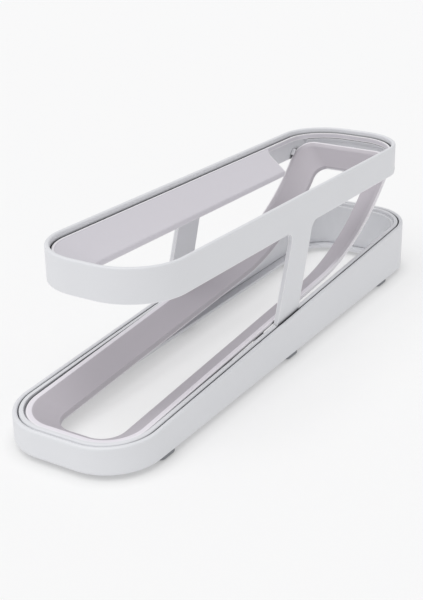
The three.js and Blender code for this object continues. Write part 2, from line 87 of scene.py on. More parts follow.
def srgb(hex_value: int) -> tuple[float, float, float, float]:
    """Turns an sRGB hex colour to the linear values that shaders use.

    Args:
        hex_value: the colour as 0xRRGGBB.

    Returns:
        Red, green, blue and an alpha of one.
    """
    channels = [((hex_value >> shift) & 255) / 255 for shift in (16, 8, 0)]
    linear = [c / 12.92 if c <= 0.04045 else ((c + 0.055) / 1.055) ** 2.4 for c in channels]
    return (linear[0], linear[1], linear[2], 1.0)


def add_node(
    tree: bpy.types.NodeTree,
    kind: str,
    inputs: dict[int | str, object] | None = None,
    **settings: object,
) -> bpy.types.Node:
    """Adds a node with its settings, its values and its links.

    Args:
        tree: the tree that gets the node.
        kind: Blender's type name of the node.
        inputs: for each input, the value it holds or the output socket that feeds it.
        **settings: the node's own properties.

    Returns:
        The new node.
    """
    node = tree.nodes.new(kind)
    for name, value in settings.items():
        setattr(node, name, value)
    for socket, value in (inputs or {}).items():
        if isinstance(value, bpy.types.NodeSocket):
            tree.links.new(value, node.inputs[socket])
        else:
            node.inputs[socket].default_value = value
    return node


@dataclass(frozen=True)
class HolderSizes:
    """The sizes that several pieces share, with the places that follow from them."""

    base_length: float = 352.0
    base_width: float = 86.2
    base_end_flat: float = 12.5
    base_wall: float = 2.7
    floor_thickness: float = 2.4
    front_rim: float = 18.6
    rear_rim: float = 36.4
    foot_height: float = 3.0
    fit: float = 0.3
    ring_gap: float = 0.6
    slide_gap: float = 1.0
    trough_gap: float = 0.7
    tray_wall: float = 2.6
    tray_joggle: float = 1.8
    tray_shoulder_depth: float = 5.0
    upper_front_setback: float = 29.9
    upper_rear_setback: float = 9.1
    upper_front_height: float = 102.2
    upper_rear_height: float = 92.2
    upper_end_flat: float = 7.0
    band_height: float = 19.3
    band_wall: float = 2.6
    slot_width: float = 38.8
    slide_sheet: float = 2.0
    slide_front_drop: float = 1.5
    slide_slope: float = math.radians(4)
    overrun: float = 2.0

    @property
    def half_width(self) -> float:
        """Half the width of the base ring."""
        return self.base_width / 2

    @property
    def front(self) -> float:
        """Y of the base ring's front."""
        return -self.base_length / 2

    @property
    def rear(self) -> float:
        """Y of the base ring's rear."""
        return self.base_length / 2

    @property
    def base_radius(self) -> float:
        """Corner radius of the base ring in plan."""
        return self.half_width - self.base_end_flat

    @property
    def floor_top(self) -> float:
        """Height of the base ring's floor flange."""
        return self.foot_height + self.floor_thickness

    @property
    def tray_inset(self) -> float:
        """Distance from the base ring's outer face to the tray ring's."""
        return self.base_wall + self.ring_gap

    @property
    def tray_half_width(self) -> float:
        """Half the width of the tray ring, which is also the upper ring's."""
        return self.half_width - self.tray_inset

    @property
    def upper_radius(self) -> float:
        """Corner radius of the upper ring in plan."""
        return self.tray_half_width - self.upper_end_flat

    @property
    def upper_front(self) -> float:
        """Y of the upper ring's front."""
        return self.front + self.upper_front_setback

    @property
    def upper_rear(self) -> float:
        """Y of the upper ring's rear."""
        return self.rear - self.upper_rear_setback

    @property
    def band_inner(self) -> float:
        """X of the inner face of the upper ring's side walls."""
        return self.tray_half_width - self.band_wall

    @property
    def slot_half_width(self) -> float:
        """Half the width of the slot along the trough's bottom."""
        return self.slot_width / 2

    @property
    def lower_rise(self) -> float:
        """Slope of the lower tier's rim."""
        return (self.rear_rim - self.front_rim) / self.base_length

    @property
    def upper_fall(self) -> float:
        """Slope of the upper ring's rim, falling to the rear."""
        drop = self.upper_front_height - self.upper_rear_height
        return drop / (self.upper_rear - self.upper_front)

    @property
    def slide_half_width(self) -> float:
        """Half the width of the slide over its lands."""
        return self.tray_half_width - self.tray_wall - self.slide_gap

    @property
    def slide_front(self) -> float:
        """Y of the slide's front."""
        return self.front + self.half_width - self.slide_half_width

    def rim_height(self, y: float) -> float:
        """Height of the lower tier's rim at a place."""
        return self.front_rim + self.lower_rise * (y - self.front)

    def slide_height(self, y: float) -> float:
        """Height of the slide's straight part, which starts below the rim and climbs faster."""
        front = self.rim_height(self.slide_front) - self.slide_front_drop
        return front + (y - self.slide_front) * math.tan(self.slide_slope)

    def upper_rim_height(self, y: float) -> float:
        """Height of the upper ring's rim at a place."""
        return self.upper_front_height - self.upper_fall * (y - self.upper_front)

    @property
    def upper_span(self) -> tuple[float, float]:
        """Heights that a cut through the whole upper ring goes between."""
        low = self.upper_rear_height - self.band_height - self.overrun
        return low, self.upper_front_height + self.overrun


def rounded_outline(
    half_width: float,
    front: float,
    rear: float,
    front_radius: float,
    rear_radius: float | None = None,
    stops: Sequence[float] = (),
    steps: int = 28,
) -> np.ndarray:
    """Stations round a rounded rectangle, anticlockwise from above.

    Args:
        half_width: half the outline's width across.
        front: Y of its front.
        rear: Y of its rear.
        front_radius: radius of the two front corners.
        rear_radius: radius of the two rear corners, the same as at the front if left out.
        stops: Y of further stations on each long side, from front to rear.
        steps: facets in each corner.

    Returns:
        Rows of x, y and the outward normal's x and y.
    """
    rear_radius = front_radius if rear_radius is None else rear_radius
    corners = [
        (half_width - rear_radius, rear - rear_radius, rear_radius),
        (rear_radius - half_width, rear - rear_radius, rear_radius),
        (front_radius - half_width, front + front_radius, front_radius),
        (half_width - front_radius, front + front_radius, front_radius),
    ]
    stations: list[tuple[float, float, float, float]] = []
    for index, (cx, cy, radius) in enumerate(corners):
        for step in range(steps + 1):
            angle = math.pi / 2 * (index + step / steps)
            nx, ny = math.cos(angle), math.sin(angle)
            stations.append((cx + radius * nx, cy + radius * ny, nx, ny))
        if index == 1:
            stations += [(-half_width, y, -1.0, 0.0) for y in reversed(stops)]
        if index == 3:
            stations += [(half_width, y, 1.0, 0.0) for y in stops]
    return np.array(stations)


def round_corners(corners: Iterable[Sequence[float]], steps: int = 6) -> Section:
    """Puts an arc in place of each corner that has a radius.

    Args:
        corners: the polygon as x, y and an optional radius.
        steps: facets in each arc.

    Returns:
        The rounded polygon's points in the same order.
    """
    listed = [tuple(corner) for corner in corners]
    rounded: Section = []
    for index, (x, y, *rest) in enumerate(listed):
        if not rest or rest[0] == 0:
            rounded.append((x, y))
            continue
        corner = Vector((x, y))
        back = (Vector(listed[index - 1][:2]) - corner).normalized()
        ahead = (Vector(listed[(index + 1) % len(listed)][:2]) - corner).normalized()
        half = math.acos(max(-1.0, min(1.0, back.dot(ahead)))) / 2
        centre = corner + (back + ahead).normalized() * (rest[0] / math.sin(half))
        spoke = corner + back * (rest[0] / math.tan(half)) - centre
        turn = math.copysign(math.pi - 2 * half, ahead.x * back.y - ahead.y * back.x)
        for step in range(steps + 1):
            turned = centre + Matrix.Rotation(turn * step / steps, 2) @ spoke
            rounded.append((turned.x, turned.y))
    return rounded


def sweep_mesh(name: str, outline: np.ndarray, section: Section, place: Place) -> bpy.types.Mesh:
    """Sweeps a section once round a closed outline.

    Args:
        name: name of the mesh.
        outline: stations from rounded_outline.
        section: points as inset and height, outer face first, going up.
        place: gives a point's x, y and z from its station, inset, height and station number.

    Returns:
        A closed mesh in metres.
    """
    points = [
        place(station, inset, height, index)
        for index, station in enumerate(outline)
        for inset, height in section
    ]
    around, across = len(outline), len(section)
    faces = [
        (
            j * across + i,
            (j + 1) % around * across + i,
            (j + 1) % around * across + (i + 1) % across,
            j * across + (i + 1) % across,
        )
        for j in range(around)
        for i in range(across)
    ]
    mesh = bpy.data.meshes.new(name)
    mesh.from_pydata((np.array(points) * MM).tolist(), [], faces)
    return mesh


def funnel_point(
    station: np.ndarray, opening: np.ndarray, inset: float, rim: float, reach: float
) -> np.ndarray:
    """Where a funnel's wall is in plan: square to its outline on the rim, then straight inward.

    Args:
        station: the outline's station.
        opening: the matching station of the opening at the bottom.
        inset: distance inward from the outline.
        rim: width of the rim.
        reach: inset at which the opening begins.

    Returns:
        X and y.
    """
    share = max(inset - rim, 0.0) / (reach - rim)
    start = station[:2] - station[2:] * min(inset, rim)
    return start + (opening[:2] - start) * share


def prism_mesh(name: str, ends: Ends) -> bpy.types.Mesh:
    """Makes closed prisms, each between two matching end polygons.

    Args:
        name: name of the mesh.
        ends: for each prism, the corner points of its two ends, in millimetres.

    Returns:
        One mesh of all the prisms in metres, with its faces outward.
    """
    shape = bmesh.new()
    for pair in ends:
        near, far = [[shape.verts.new(Vector(point) * MM) for point in end] for end in pair]
        shape.faces.new(near)
        shape.faces.new(list(reversed(far)))
        for index in range(len(near)):
            after = (index + 1) % len(near)
            shape.faces.new([near[after], near[index], far[index], far[after]])
    bmesh.ops.recalc_face_normals(shape, faces=shape.faces)
    mesh = bpy.data.meshes.new(name)
    shape.to_mesh(mesh)
    shape.free()
    return mesh


def across_sides(points: Section, inner: float, outer: float) -> Ends:
    """Ends of the two prisms that pull a side-view outline (Y, Z) from inner to outer X."""
    return [
        tuple(np.array([(side * x, y, z) for y, z in points]) for x in (inner, outer))
        for side in (-1, 1)
    ]


def standing(points: Section, bottom: float, top: float) -> Ends:
    """Ends of the prism that pulls a plan outline (X, Y) from bottom to top."""
    return [tuple(np.array([(x, y, z) for x, y in points]) for z in (bottom, top))]


def new_object(name: str, mesh: bpy.types.Mesh) -> bpy.types.Object:
    """Puts a mesh in the scene as an object at the origin.

    Args:
        name: name of the object.
        mesh: its mesh.

    Returns:
        The new object.
    """
    made = bpy.data.objects.new(name, mesh)
    bpy.context.scene.collection.objects.link(made)
    return made


def bake(piece: bpy.types.Object) -> bpy.types.Object:
    """Turns a piece's modifiers into plain mesh and takes them off.

    Args:
        piece: the piece that is changed.

    Returns:
        The same piece.
    """
    bpy.context.view_layer.update()
    graph = bpy.context.evaluated_depsgraph_get()
    mesh = bpy.data.meshes.new_from_object(piece.evaluated_get(graph), depsgraph=graph)
    piece.modifiers.clear()
    piece.data = mesh
    return piece


def combine(piece: bpy.types.Object, name: str, ends: Ends, join: Join) -> None:
    """Adds prisms to a piece or cuts them away.

    Args:
        piece: the piece that is changed.
        name: what the prisms are.
        ends: their end polygons.
        join: which of the two is done.
    """
    tool = new_object(name, prism_mesh(name, ends))
    modifier = piece.modifiers.new("join", "BOOLEAN")
    modifier.operation = join.value
    modifier.solver = "MANIFOLD"
    modifier.object = tool
    bake(piece)
    bpy.data.objects.remove(tool)


def soften(
    piece: bpy.types.Object,
    radius: float,
    chosen: Callable[[bmesh.types.BMEdge], bool] | None = None,
    segments: int = 3,
) -> None:
    """Rounds the sharp edges of a piece, or those of them that are chosen.

    Args:
        piece: the piece that is changed.
        radius: width of the rounding in millimetres.
        chosen: says whether a sharp edge is rounded.
        segments: facets across it.
    """
    shape = bmesh.new()
    shape.from_mesh(piece.data)
    bmesh.ops.remove_doubles(shape, verts=shape.verts, dist=WELD)
    layer = shape.edges.layers.float.new("bevel_weight_edge")
    for edge in shape.edges:
        is_sharp = len(edge.link_faces) == 2 and edge.calc_face_angle(0.0) > SHARP
        edge[layer] = float(is_sharp and (chosen is None or chosen(edge)))
    shape.to_mesh(piece.data)
    shape.free()
    modifier = piece.modifiers.new("soften", "BEVEL")
    modifier.limit_method = "WEIGHT"
    modifier.width = radius * MM
    modifier.segments = segments
    modifier.use_clamp_overlap = True
    bake(piece)


def smooth(piece: bpy.types.Object, angle: float = 32.0) -> bpy.types.Object:
    """Shades a piece smooth up to an angle, with flat faces kept flat beside roundings.

    Args:
        piece: the piece that is changed.
        angle: least angle between two faces, in degrees, that stays an edge.

    Returns:
        The same piece.
    """
    piece.data.shade_smooth()
    piece.data.set_sharp_from_angle(angle=math.radians(angle))
    modifier = piece.modifiers.new("even", "WEIGHTED_NORMAL")
    modifier.keep_sharp = True
    return bake(piece)


def run_tree(
    name: str,
    mesh: bpy.types.Mesh,
    tree: bpy.types.NodeTree,
    values: dict[str, object],
) -> bpy.types.Object:
    """Runs a geometry tree on a mesh and keeps the result as plain mesh.

    Args:
        name: name of the new object.
        mesh: the geometry that goes in.
        tree: the tree.
        values: what each named input is set to.

    Returns:
        The finished object.
    """
    piece = new_object(name, mesh)
    modifier = piece.modifiers.new(tree.name, "NODES")
    modifier.node_group = tree
    for item in tree.interface.items_tree:
        if item.item_type == "SOCKET" and item.in_out == "INPUT" and item.name in values:
            modifier[item.identifier] = values[item.name]
    return bake(piece)


def start_tree(
    name: str, sizes: Sequence[str], others: dict[str, str] | None = None
) -> tuple[bpy.types.NodeTree, bpy.types.Node]:
    """Starts a geometry tree with a named input for each size and one for the material.

    Args:
        name: name of the tree.
        sizes: names of its number inputs.
        others: names of further inputs, each with its kind.

    Returns:
        The tree and its Group Input node.
    """
    tree = bpy.data.node_groups.new(name, "GeometryNodeTree")
    kinds = {"Geometry": "Geometry", **dict.fromkeys(sizes, "Float"), "Material": "Material"}
    for label, kind in (kinds | (others or {})).items():
        tree.interface.new_socket(label, in_out="INPUT", socket_type=f"NodeSocket{kind}")
    tree.interface.new_socket("Geometry", in_out="OUTPUT", socket_type="NodeSocketGeometry")
    return tree, add_node(tree, "NodeGroupInput")


def end_tree(
    tree: bpy.types.NodeTree, given: bpy.types.Node, geometry: bpy.types.NodeSocket
) -> bpy.types.NodeTree:
    """Ends a geometry tree in Realize Instances, Set Material and the output.

    Args:
        tree: the tree.
        given: its Group Input node.
        geometry: what the tree has made.

    Returns:
        The finished tree.
    """
    real = add_node(tree, "GeometryNodeRealizeInstances", {"Geometry": geometry})
    dressed = add_node(
        tree,
        "GeometryNodeSetMaterial",
        {"Geometry": real.outputs[0], "Material": given.outputs["Material"]},
    )
    add_node(tree, "NodeGroupOutput", {0: dressed.outputs[0]})
    return tree


def start_material(name: str) -> tuple[bpy.types.Material, bpy.types.NodeTree]:
    """Starts a material with an empty node tree.

    Args:
        name: name of the material.

    Returns:
        The material and its tree.
    """
    made = bpy.data.materials.new(name)
    made.use_nodes = True
    made.node_tree.nodes.clear()
    return made, made.node_tree


@dataclass(frozen=True)
class MouldedPolypropylene:
    """Polypropylene, injection moulded: an even satin skin off a fine spark-eroded mould."""

    name: str
    colour: int
    cloud_colour: int
    edge_highlight_colour: int
    roughness: float = 0.42
    gloss_spread: float = 0.05
    dust_and_shade_colour: int = 0x6F7075
    highlight_mm: float = 1.9
    highlight_openness: tuple[float, float] = (0.88, 0.6)
    gap_mm: float = 2.5
    gap_openness: tuple[float, float] = (0.72, 0.3)
    shade_fade_y_mm: tuple[float, float] = (-169.0, -150.0)
    shade_z_mm: tuple[float, float] = (14.0, 22.0)
    grain_mm: float = 0.55
    grain_depth_mm: float = 0.012
    ripple_mm: float = 14.0
    ripple_depth_mm: float = 0.04
    cloud_mm: float = 60.0

    def body(self, tree: bpy.types.NodeTree, place: bpy.types.NodeSocket) -> bpy.types.NodeSocket:
        """Colour of the plastic itself, before the painted edge highlight and painted gap shade go
        on it.

        Args:
            tree: the material's tree.
            place: the Object coordinates.

        Returns:
            The colour's socket.
        """
        # Polymer flow leaves the white very slightly uneven over a few centimetres.
        cloud = add_node(
            tree,
            "ShaderNodeTexNoise",
            {"Vector": place, "Scale": 1 / (self.cloud_mm * MM), "Detail": 2.0},
        )
        plastic = add_node(
            tree,
            "ShaderNodeMix",
            {0: cloud.outputs[0], 6: srgb(self.colour), 7: srgb(self.cloud_colour)},
            data_type="RGBA",
        )
        return plastic.outputs[2]

    def material(self) -> bpy.types.Material:
        """Builds the material.

        Returns:
            The material.
        """
        made, tree = start_material(self.name)
        place = add_node(tree, "ShaderNodeTexCoord").outputs["Object"]
        # Painted highlight: thin rims and lips are drawn paler, standing in for light through thin
        # plastic.
        depth = add_node(
            tree,
            "ShaderNodeAmbientOcclusion",
            {"Distance": self.highlight_mm * MM},
            inside=True,
            only_local=True,
        )
        thick, thin = self.highlight_openness
        edge = add_node(
            tree,
            "ShaderNodeMapRange",
            {0: depth.outputs["AO"], 1: thick, 2: thin, 3: 0.0, 4: 1.0},
        )
        moulded = add_node(
            tree,
            "ShaderNodeMix",
            {0: edge.outputs[0], 6: self.body(tree, place), 7: srgb(self.edge_highlight_colour)},
            data_type="RGBA",
        )
        # Painted shade: narrow gaps, found by ambient occlusion, are drawn darker, but not in
        # front or low down.
        parts = add_node(tree, "ShaderNodeSeparateXYZ", {0: place}).outputs
        gap = add_node(tree, "ShaderNodeAmbientOcclusion", {"Distance": self.gap_mm * MM})
        dusty: bpy.types.NodeSocket | float = 1.0
        for reading, (none, full) in (
            (parts["Y"], (bound * MM for bound in self.shade_fade_y_mm)),
            (parts["Z"], (bound * MM for bound in self.shade_z_mm)),
            (gap.outputs["AO"], self.gap_openness),
        ):
            dusty = add_node(
                tree, "ShaderNodeMapRange", {0: reading, 1: none, 2: full, 3: 0.0, 4: dusty}
            ).outputs[0]
        # The painted gap shade is mixed over the plastic's colour.
        colour = add_node(
            tree,
            "ShaderNodeMix",
            {0: dusty, 6: moulded.outputs[2], 7: srgb(self.dust_and_shade_colour)},
            data_type="RGBA",
        )
        # Shrinkage leaves flat walls a few hundredths of a millimetre out of true. The mould's
        # spark-eroded grain is about 0.05 mm, drawn coarser here so that it shows.
        below: dict[str, bpy.types.NodeSocket] = {}
        for size, height, detail, strength in (
            (self.ripple_mm, self.ripple_depth_mm, 1.0, 0.6),
            (self.grain_mm, self.grain_depth_mm, 3.0, 0.5),
        ):
            relief = add_node(
                tree,
                "ShaderNodeTexNoise",
                {"Vector": place, "Scale": 1 / (size * MM), "Detail": detail},
            ).outputs[0]
            inputs = {"Height": relief, "Distance": height * MM, "Strength": strength}
            skin = add_node(tree, "ShaderNodeBump", inputs | below)
            below = {"Normal": skin.outputs[0]}
        least, most = self.roughness - self.gloss_spread, self.roughness + self.gloss_spread
        gloss = add_node(tree, "ShaderNodeMapRange", {0: relief, 3: least, 4: most})
        shader = add_node(
            tree,
            "ShaderNodeBsdfPrincipled",
            {
                "Base Color": colour.outputs[2],
                "Roughness": gloss.outputs[0],
                "IOR": 1.49,
                "Metallic": 0.0,
                **below,
            },
        )
        add_node(tree, "ShaderNodeOutputMaterial", {"Surface": shader.outputs[0]})
        return made


@dataclass(frozen=True)
class SlopeShadedPolypropylene(MouldedPolypropylene):
    """The same plastic on a running track, with painted shade drawn on its sloping faces."""

    slope_shade_colour: int = 0xBEB9BF
    level_upness: tuple[float, float] = (0.965, 0.99)

    def body(self, tree: bpy.types.NodeTree, place: bpy.types.NodeSocket) -> bpy.types.NodeSocket:
        """Colour of the plastic: as moulded where it lies level, painted shade where it slopes.

        Args:
            tree: the material's tree.
            place: the Object coordinates.

        Returns:
            The colour's socket.
        """
        clean = super().body(tree, place)
        # Painted shade: faces that slope away from level are drawn darker.
        facing = add_node(tree, "ShaderNodeTexCoord").outputs["Normal"]
        upward = add_node(tree, "ShaderNodeSeparateXYZ", {0: facing}).outputs["Z"]
        sloping, flat = self.level_upness
        level = add_node(
            tree, "ShaderNodeMapRange", {0: upward, 1: sloping, 2: flat, 3: 0.0, 4: 1.0}
        )
        slope_shaded = add_node(
            tree,
            "ShaderNodeMix",
            {0: level.outputs[0], 6: srgb(self.slope_shade_colour), 7: clean},
            data_type="RGBA",
        )
        return slope_shaded.outputs[2]


@dataclass(frozen=True)
class MouldedRubber:
    """Thermoplastic rubber, moulded: matt grey, with a faint dusty mottle."""

    name: str
    colour: int
    dust_and_shade_colour: int
    roughness: float = 0.82
    grain_mm: float = 0.5
    grain_depth_mm: float = 0.03

    def material(self) -> bpy.types.Material:
        """Builds the material.

        Returns:
            The material.
        """
        made, tree = start_material(self.name)
        place = add_node(tree, "ShaderNodeTexCoord").outputs["Object"]
        # The mottle is the grain of the mould, with dust caught in its hollows.
        grain = add_node(
            tree,
            "ShaderNodeTexNoise",
            {"Vector": place, "Scale": 1 / (self.grain_mm * MM), "Detail": 4.0},
        )
        colour = add_node(
            tree,
            "ShaderNodeMix",
            {0: grain.outputs[0], 6: srgb(self.colour), 7: srgb(self.dust_and_shade_colour)},
            data_type="RGBA",
        )
        skin = add_node(
            tree,
            "ShaderNodeBump",
            {
                "Height": grain.outputs[0],
                "Distance": self.grain_depth_mm * MM,
                "Strength": 0.5,
            },
        )
        shader = add_node(
            tree,
            "ShaderNodeBsdfPrincipled",
            {
                "Base Color": colour.outputs[2],
                "Roughness": self.roughness,
                "Normal": skin.outputs[0],
                "IOR": 1.5,
            },
        )
        add_node(tree, "ShaderNodeOutputMaterial", {"Surface": shader.outputs[0]})
        return made


@dataclass(frozen=True)
class LitAcrylic:
    """Opal acrylic table top, glowing as if lit from below: pale, with a tight soft painted shadow
    on it.
    """

    name: str
    colour: int
    glow: float
    roughness: float = 0.9
    shade_mm: float = 9.0
    covered_share: float = 0.55

    def material(self) -> bpy.types.Material:
        """Builds the material.

        Returns:
            The material.
        """
        made, tree = start_material(self.name)
        # Painted shadow: the glow is dimmed by ambient occlusion where something stands close over
        # it.
        clear = add_node(tree, "ShaderNodeAmbientOcclusion", {"Distance": self.shade_mm * MM})
        glow = add_node(
            tree,
            "ShaderNodeMapRange",
            {0: clear.outputs["AO"], 3: self.glow * self.covered_share, 4: self.glow},
        )
        shader = add_node(
            tree,
            "ShaderNodeBsdfPrincipled",
            {
                "Base Color": srgb(self.colour),
                "Roughness": self.roughness,
                "Specular IOR Level": 0.2,
                "Emission Color": srgb(0xFFFFFF),
                "Emission Strength": glow.outputs[0],
            },
        )
        add_node(tree, "ShaderNodeOutputMaterial", {"Surface": shader.outputs[0]})
        return made


def settle(piece: bpy.types.Object, slot: Slot, *nodes: str) -> bpy.types.Object:
    """Rides a piece on the holder, in place of CAD nodes.

    Args:
        piece: the finished piece.
        slot: the record's slot that its finish is from; not used.
        *nodes: the CAD nodes that it stands for.

    Returns:
        The piece.
    """
    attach(piece, "root")
    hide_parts(*nodes)
    return piece


def ring_tree() -> bpy.types.NodeTree:
    """Tree that sweeps a wall section round a rounded rectangle below a sloping rim.

    The geometry that goes in is the section, as inset and height. What is lower than the split
    stands on a level floor, and what is higher hangs from the rim.

    Returns:
        The tree.
    """
    tree, given = start_tree(
        "Moulded ring",
        ("Width", "Length", "Middle", "Corner radius", "Split", "Floor", "Hung height",
         "Rim slope"),
        {"Corner facets": "Int"},
    )
    value = {socket.name: socket for socket in given.outputs}
    oblong = add_node(
        tree,
        "GeometryNodeCurvePrimitiveQuadrilateral",
        {"Width": value["Width"], "Height": value["Length"]},
    )
    path = add_node(
        tree,
        "GeometryNodeFilletCurve",
        {
            "Curve": oblong.outputs[0],
            "Radius": value["Corner radius"],
            "Count": value["Corner facets"],
        },
        mode="POLY",
    )
    section = add_node(tree, "GeometryNodeMeshToCurve", {0: value["Geometry"]})
    swept = add_node(tree, "GeometryNodeCurveToMesh", {0: path.outputs[0], 1: section.outputs[0]})
    here = add_node(tree, "GeometryNodeInputPosition")
    parts = add_node(tree, "ShaderNodeSeparateXYZ", {0: here.outputs[0]})
    value |= {socket.name: socket for socket in parts.outputs}
    for result, operation, *terms in (
        ("along", "ADD", "Y", "Middle"),
        ("rim", "MULTIPLY_ADD", "along", "Rim slope", "Hung height"),
        ("hung", "ADD", "rim", "Z"),
        ("stood", "ADD", "Floor", "Z"),
    ):
        inputs = {index: value[term] for index, term in enumerate(terms)}
        node = add_node(tree, "ShaderNodeMath", inputs, operation=operation)
        value[result] = node.outputs[0]
    is_low = add_node(
        tree, "FunctionNodeCompare", {0: value["Z"], 1: value["Split"]}, operation="LESS_THAN"
    )
    height = add_node(
        tree,
        "GeometryNodeSwitch",
        {0: is_low.outputs[0], 1: value["hung"], 2: value["stood"]},
        input_type="FLOAT",
    )
    point = add_node(
        tree, "ShaderNodeCombineXYZ", {0: value["X"], 1: value["along"], 2: height.outputs[0]}
    )
    placed = add_node(
        tree,
        "GeometryNodeSetPosition",
        {"Geometry": swept.outputs[0], "Position": point.outputs[0]},
    )
    return end_tree(tree, given, placed.outputs[0])


def section_mesh(section: Section) -> bpy.types.Mesh:
    """A closed wire of a wall section, turned the way that the ring tree sweeps it.

    Args:
        section: points as inset and height, in millimetres.

    Returns:
        The wire, in metres.
    """
    points = [(-inset * MM, -height * MM, 0.0) for inset, height in reversed(section)]
    mesh = bpy.data.meshes.new("section")
    mesh.from_pydata(points, [(i, (i + 1) % len(points)) for i in range(len(points))], [])
    return mesh


@dataclass(frozen=True)
class LegSizes:
    """The T-shaped legs between the upper ring and the lower tier."""

    foot_front: float = -19.1
    foot_width: float = 25.8
    head_front: float = 0.1
    head_width: float = 23.4
    front_fillet: float = 5.0
    rear_fillet: float = 7.0
    tongue_thickness: float = 1.5
    tongue_inset: float = 4.0
    floor_fillet: float = 1.5

    def foot_outline(
        self, s: HolderSizes, top_rise: float, bottom_depth: float, margin: float
    ) -> Section:
        """Side-view outline of a leg between two levels at the rim, grown by a margin.

        Args:
            s: the shared sizes.
            top_rise: how far above the rim it reaches.
            bottom_depth: how far below the rim it starts.
            margin: how far it is grown at the front and the rear.

        Returns:
            Four points (Y, Z): bottom front, bottom rear, top rear and top front.
        """
        drop = s.upper_rim_height(self.head_front) - s.band_height - s.rim_height(self.foot_front)
        lean = (self.head_front - self.foot_front) / drop
        front = self.foot_front - margin
        rear = self.foot_front + self.foot_width + margin
        corners = [(front, -bottom_depth), (rear, -bottom_depth), (rear, top_rise),
                   (front, top_rise)]
        return [(y + rise * lean, s.rim_height(y) + rise) for y, rise in corners]


@dataclass(frozen=True)
class Snaps:
    """The catches, barbs, beads and hooks that hold the pieces together."""

    sizes: HolderSizes
    leg: LegSizes
    length: float = 9.0
    grip: float = 0.9
    lead: float = 1.8
    land: float = 1.0
    rise: float = 3.4
    catch_shares: tuple[float, ...] = (-0.27, 0.13, 0.3)
    barb_inset: float = 8.0
    barb_rise: float = 3.1
    bead_reach: float = 0.5
    bead_height: float = 1.3
    bead_shares: tuple[float, ...] = (-0.24, 0.02, 0.2)
    trough_rim_drop: float = 3.3
    trough_skirt: float = 3.2
    trough_rim_width: float = 1.6
    hook_thickness: float = 1.5
    hook_drop: float = 2.5
    hook_grip: float = 0.7
    hook_shares: tuple[float, ...] = (-0.29, -0.19, -0.09)

    @property
    def catch_top(self) -> float:
        """Height of the flat tops of the tray ring's catches."""
        return self.sizes.floor_top + self.sizes.fit + self.rise

    @staticmethod
    def lengthways(points: Section, middle: float, length: float, slope: float = 0.0) -> Ends:
        """Ends of the blocks on both sides that pull an end-view outline (X, Z) along Y.

        Args:
            points: the outline on the right side.
            middle: Y of the block's middle.
            length: its length along Y.
            slope: how much it climbs for each millimetre of Y.

        Returns:
            The end polygons of the left and the right block.
        """
        return [
            tuple(
                np.array([(side * x, middle + step, z + slope * step) for x, z in points])
                for step in (-length / 2, length / 2)
            )
            for side in (-1, 1)
        ]

    def base_ribs(self) -> Ends:
        """Ribs inside the base ring's walls that hold the tray ring's catches down.

        Returns:
            The end polygons of the ribs.
        """
        s = self.sizes
        face, under = s.half_width - s.base_wall, self.catch_top + s.fit
        tip, root = s.tray_half_width - self.grip, face + s.base_wall / 2
        top = under + self.land + self.lead
        points = [(root, under), (tip, under), (tip, under + self.land), (face, top), (root, top)]
        places = [share * s.base_length for share in self.catch_shares]
        return [end for y in places for end in self.lengthways(points, y, self.length)]

    def tray_catches(self) -> Ends:
        """Catches on the tray ring's lower walls.

        Returns:
            The end polygons of the catches.
        """
        s, top = self.sizes, self.catch_top
        face = s.tray_half_width - s.tray_joggle
        root, low = face - s.tray_wall / 2, top - self.land - self.lead
        points = [
            (root, low), (face, low), (s.tray_half_width, top - self.land),
            (s.tray_half_width, top), (root, top),
        ]
        places = [share * s.base_length for share in self.catch_shares]
        return [end for y in places for end in self.lengthways(points, y, self.length)]

    def leg_barbs(self, margin: float = 0.0) -> Ends:
        """Barbs on the legs' tongues or, with a margin, the pockets for them.

        Args:
            margin: how far they are grown.

        Returns:
            Their end polygons.
        """
        s, leg = self.sizes, self.leg
        (front, _), (rear, _), *_ = leg.foot_outline(s, 0, s.tray_shoulder_depth, 0)
        top = s.floor_top + leg.floor_fillet + s.fit + self.barb_rise
        root, face = s.tray_half_width - leg.tongue_thickness / 2, s.tray_half_width
        tip = s.half_width - s.base_wall + self.grip + margin
        low = top - self.land - self.lead - margin
        points = [
            (root, low), (face, low), (tip, top - self.land - margin), (tip, top + margin),
            (root, top + margin),
        ]
        length = rear - front - 2 * self.barb_inset + 2 * margin
        return self.lengthways(points, (front + rear) / 2, length)

    def slide_hooks(self, margin: float = 0.0) -> Ends:
        """Hooks below the slide's land or, with a margin, the pockets for them.

        Args:
            margin: how far they are grown.

        Returns:
            Their end polygons.
        """
        s = self.sizes
        tray_face = s.tray_half_width - s.tray_wall - s.tray_joggle
        outer = tray_face - s.fit
        inner, tip = outer - self.hook_thickness, tray_face + self.hook_grip + margin
        barb = -s.slide_sheet - self.hook_drop
        land, low = barb - self.land - margin, barb - self.land - self.lead - margin
        ends: Ends = []
        for y in (share * s.base_length for share in self.hook_shares):
            rim, root = s.rim_height(y), s.slide_height(y) - s.slide_sheet / 2
            seat = rim + barb + margin
            points = [
                (inner, root), (outer, root), (outer, seat), (tip, seat), (tip, rim + land),
                (outer, rim + low), (inner, rim + low),
            ]
            ends += self.lengthways(points, y, self.length + 2 * margin, s.lower_rise)
        return ends

    def trough_beads(self, margin: float = 0.0) -> Ends:
        """Beads on the trough's skirt or, with a margin, the dimples for them.

        Args:
            margin: how far they are grown.

        Returns:
            Their end polygons.
        """
        s = self.sizes
        face = s.band_inner - s.trough_gap
        root, tip = face - self.trough_rim_width / 2, s.band_inner + self.bead_reach + margin
        middle, half = -self.trough_rim_drop - self.trough_skirt / 2, self.bead_height / 2
        points = [
            (root, middle - half - margin), (face, middle - half - margin),
            (tip, middle - half / 2 - margin), (tip, middle + half / 2 + margin),
            (face, middle + half + margin), (root, middle + half + margin),
        ]
        return [
            end
            for y in (share * s.base_length for share in self.bead_shares)
            for end in self.lengthways(
                [(x, s.upper_rim_height(y) + z) for x, z in points],
                y, self.length + 2 * margin, -s.upper_fall,
            )
        ]


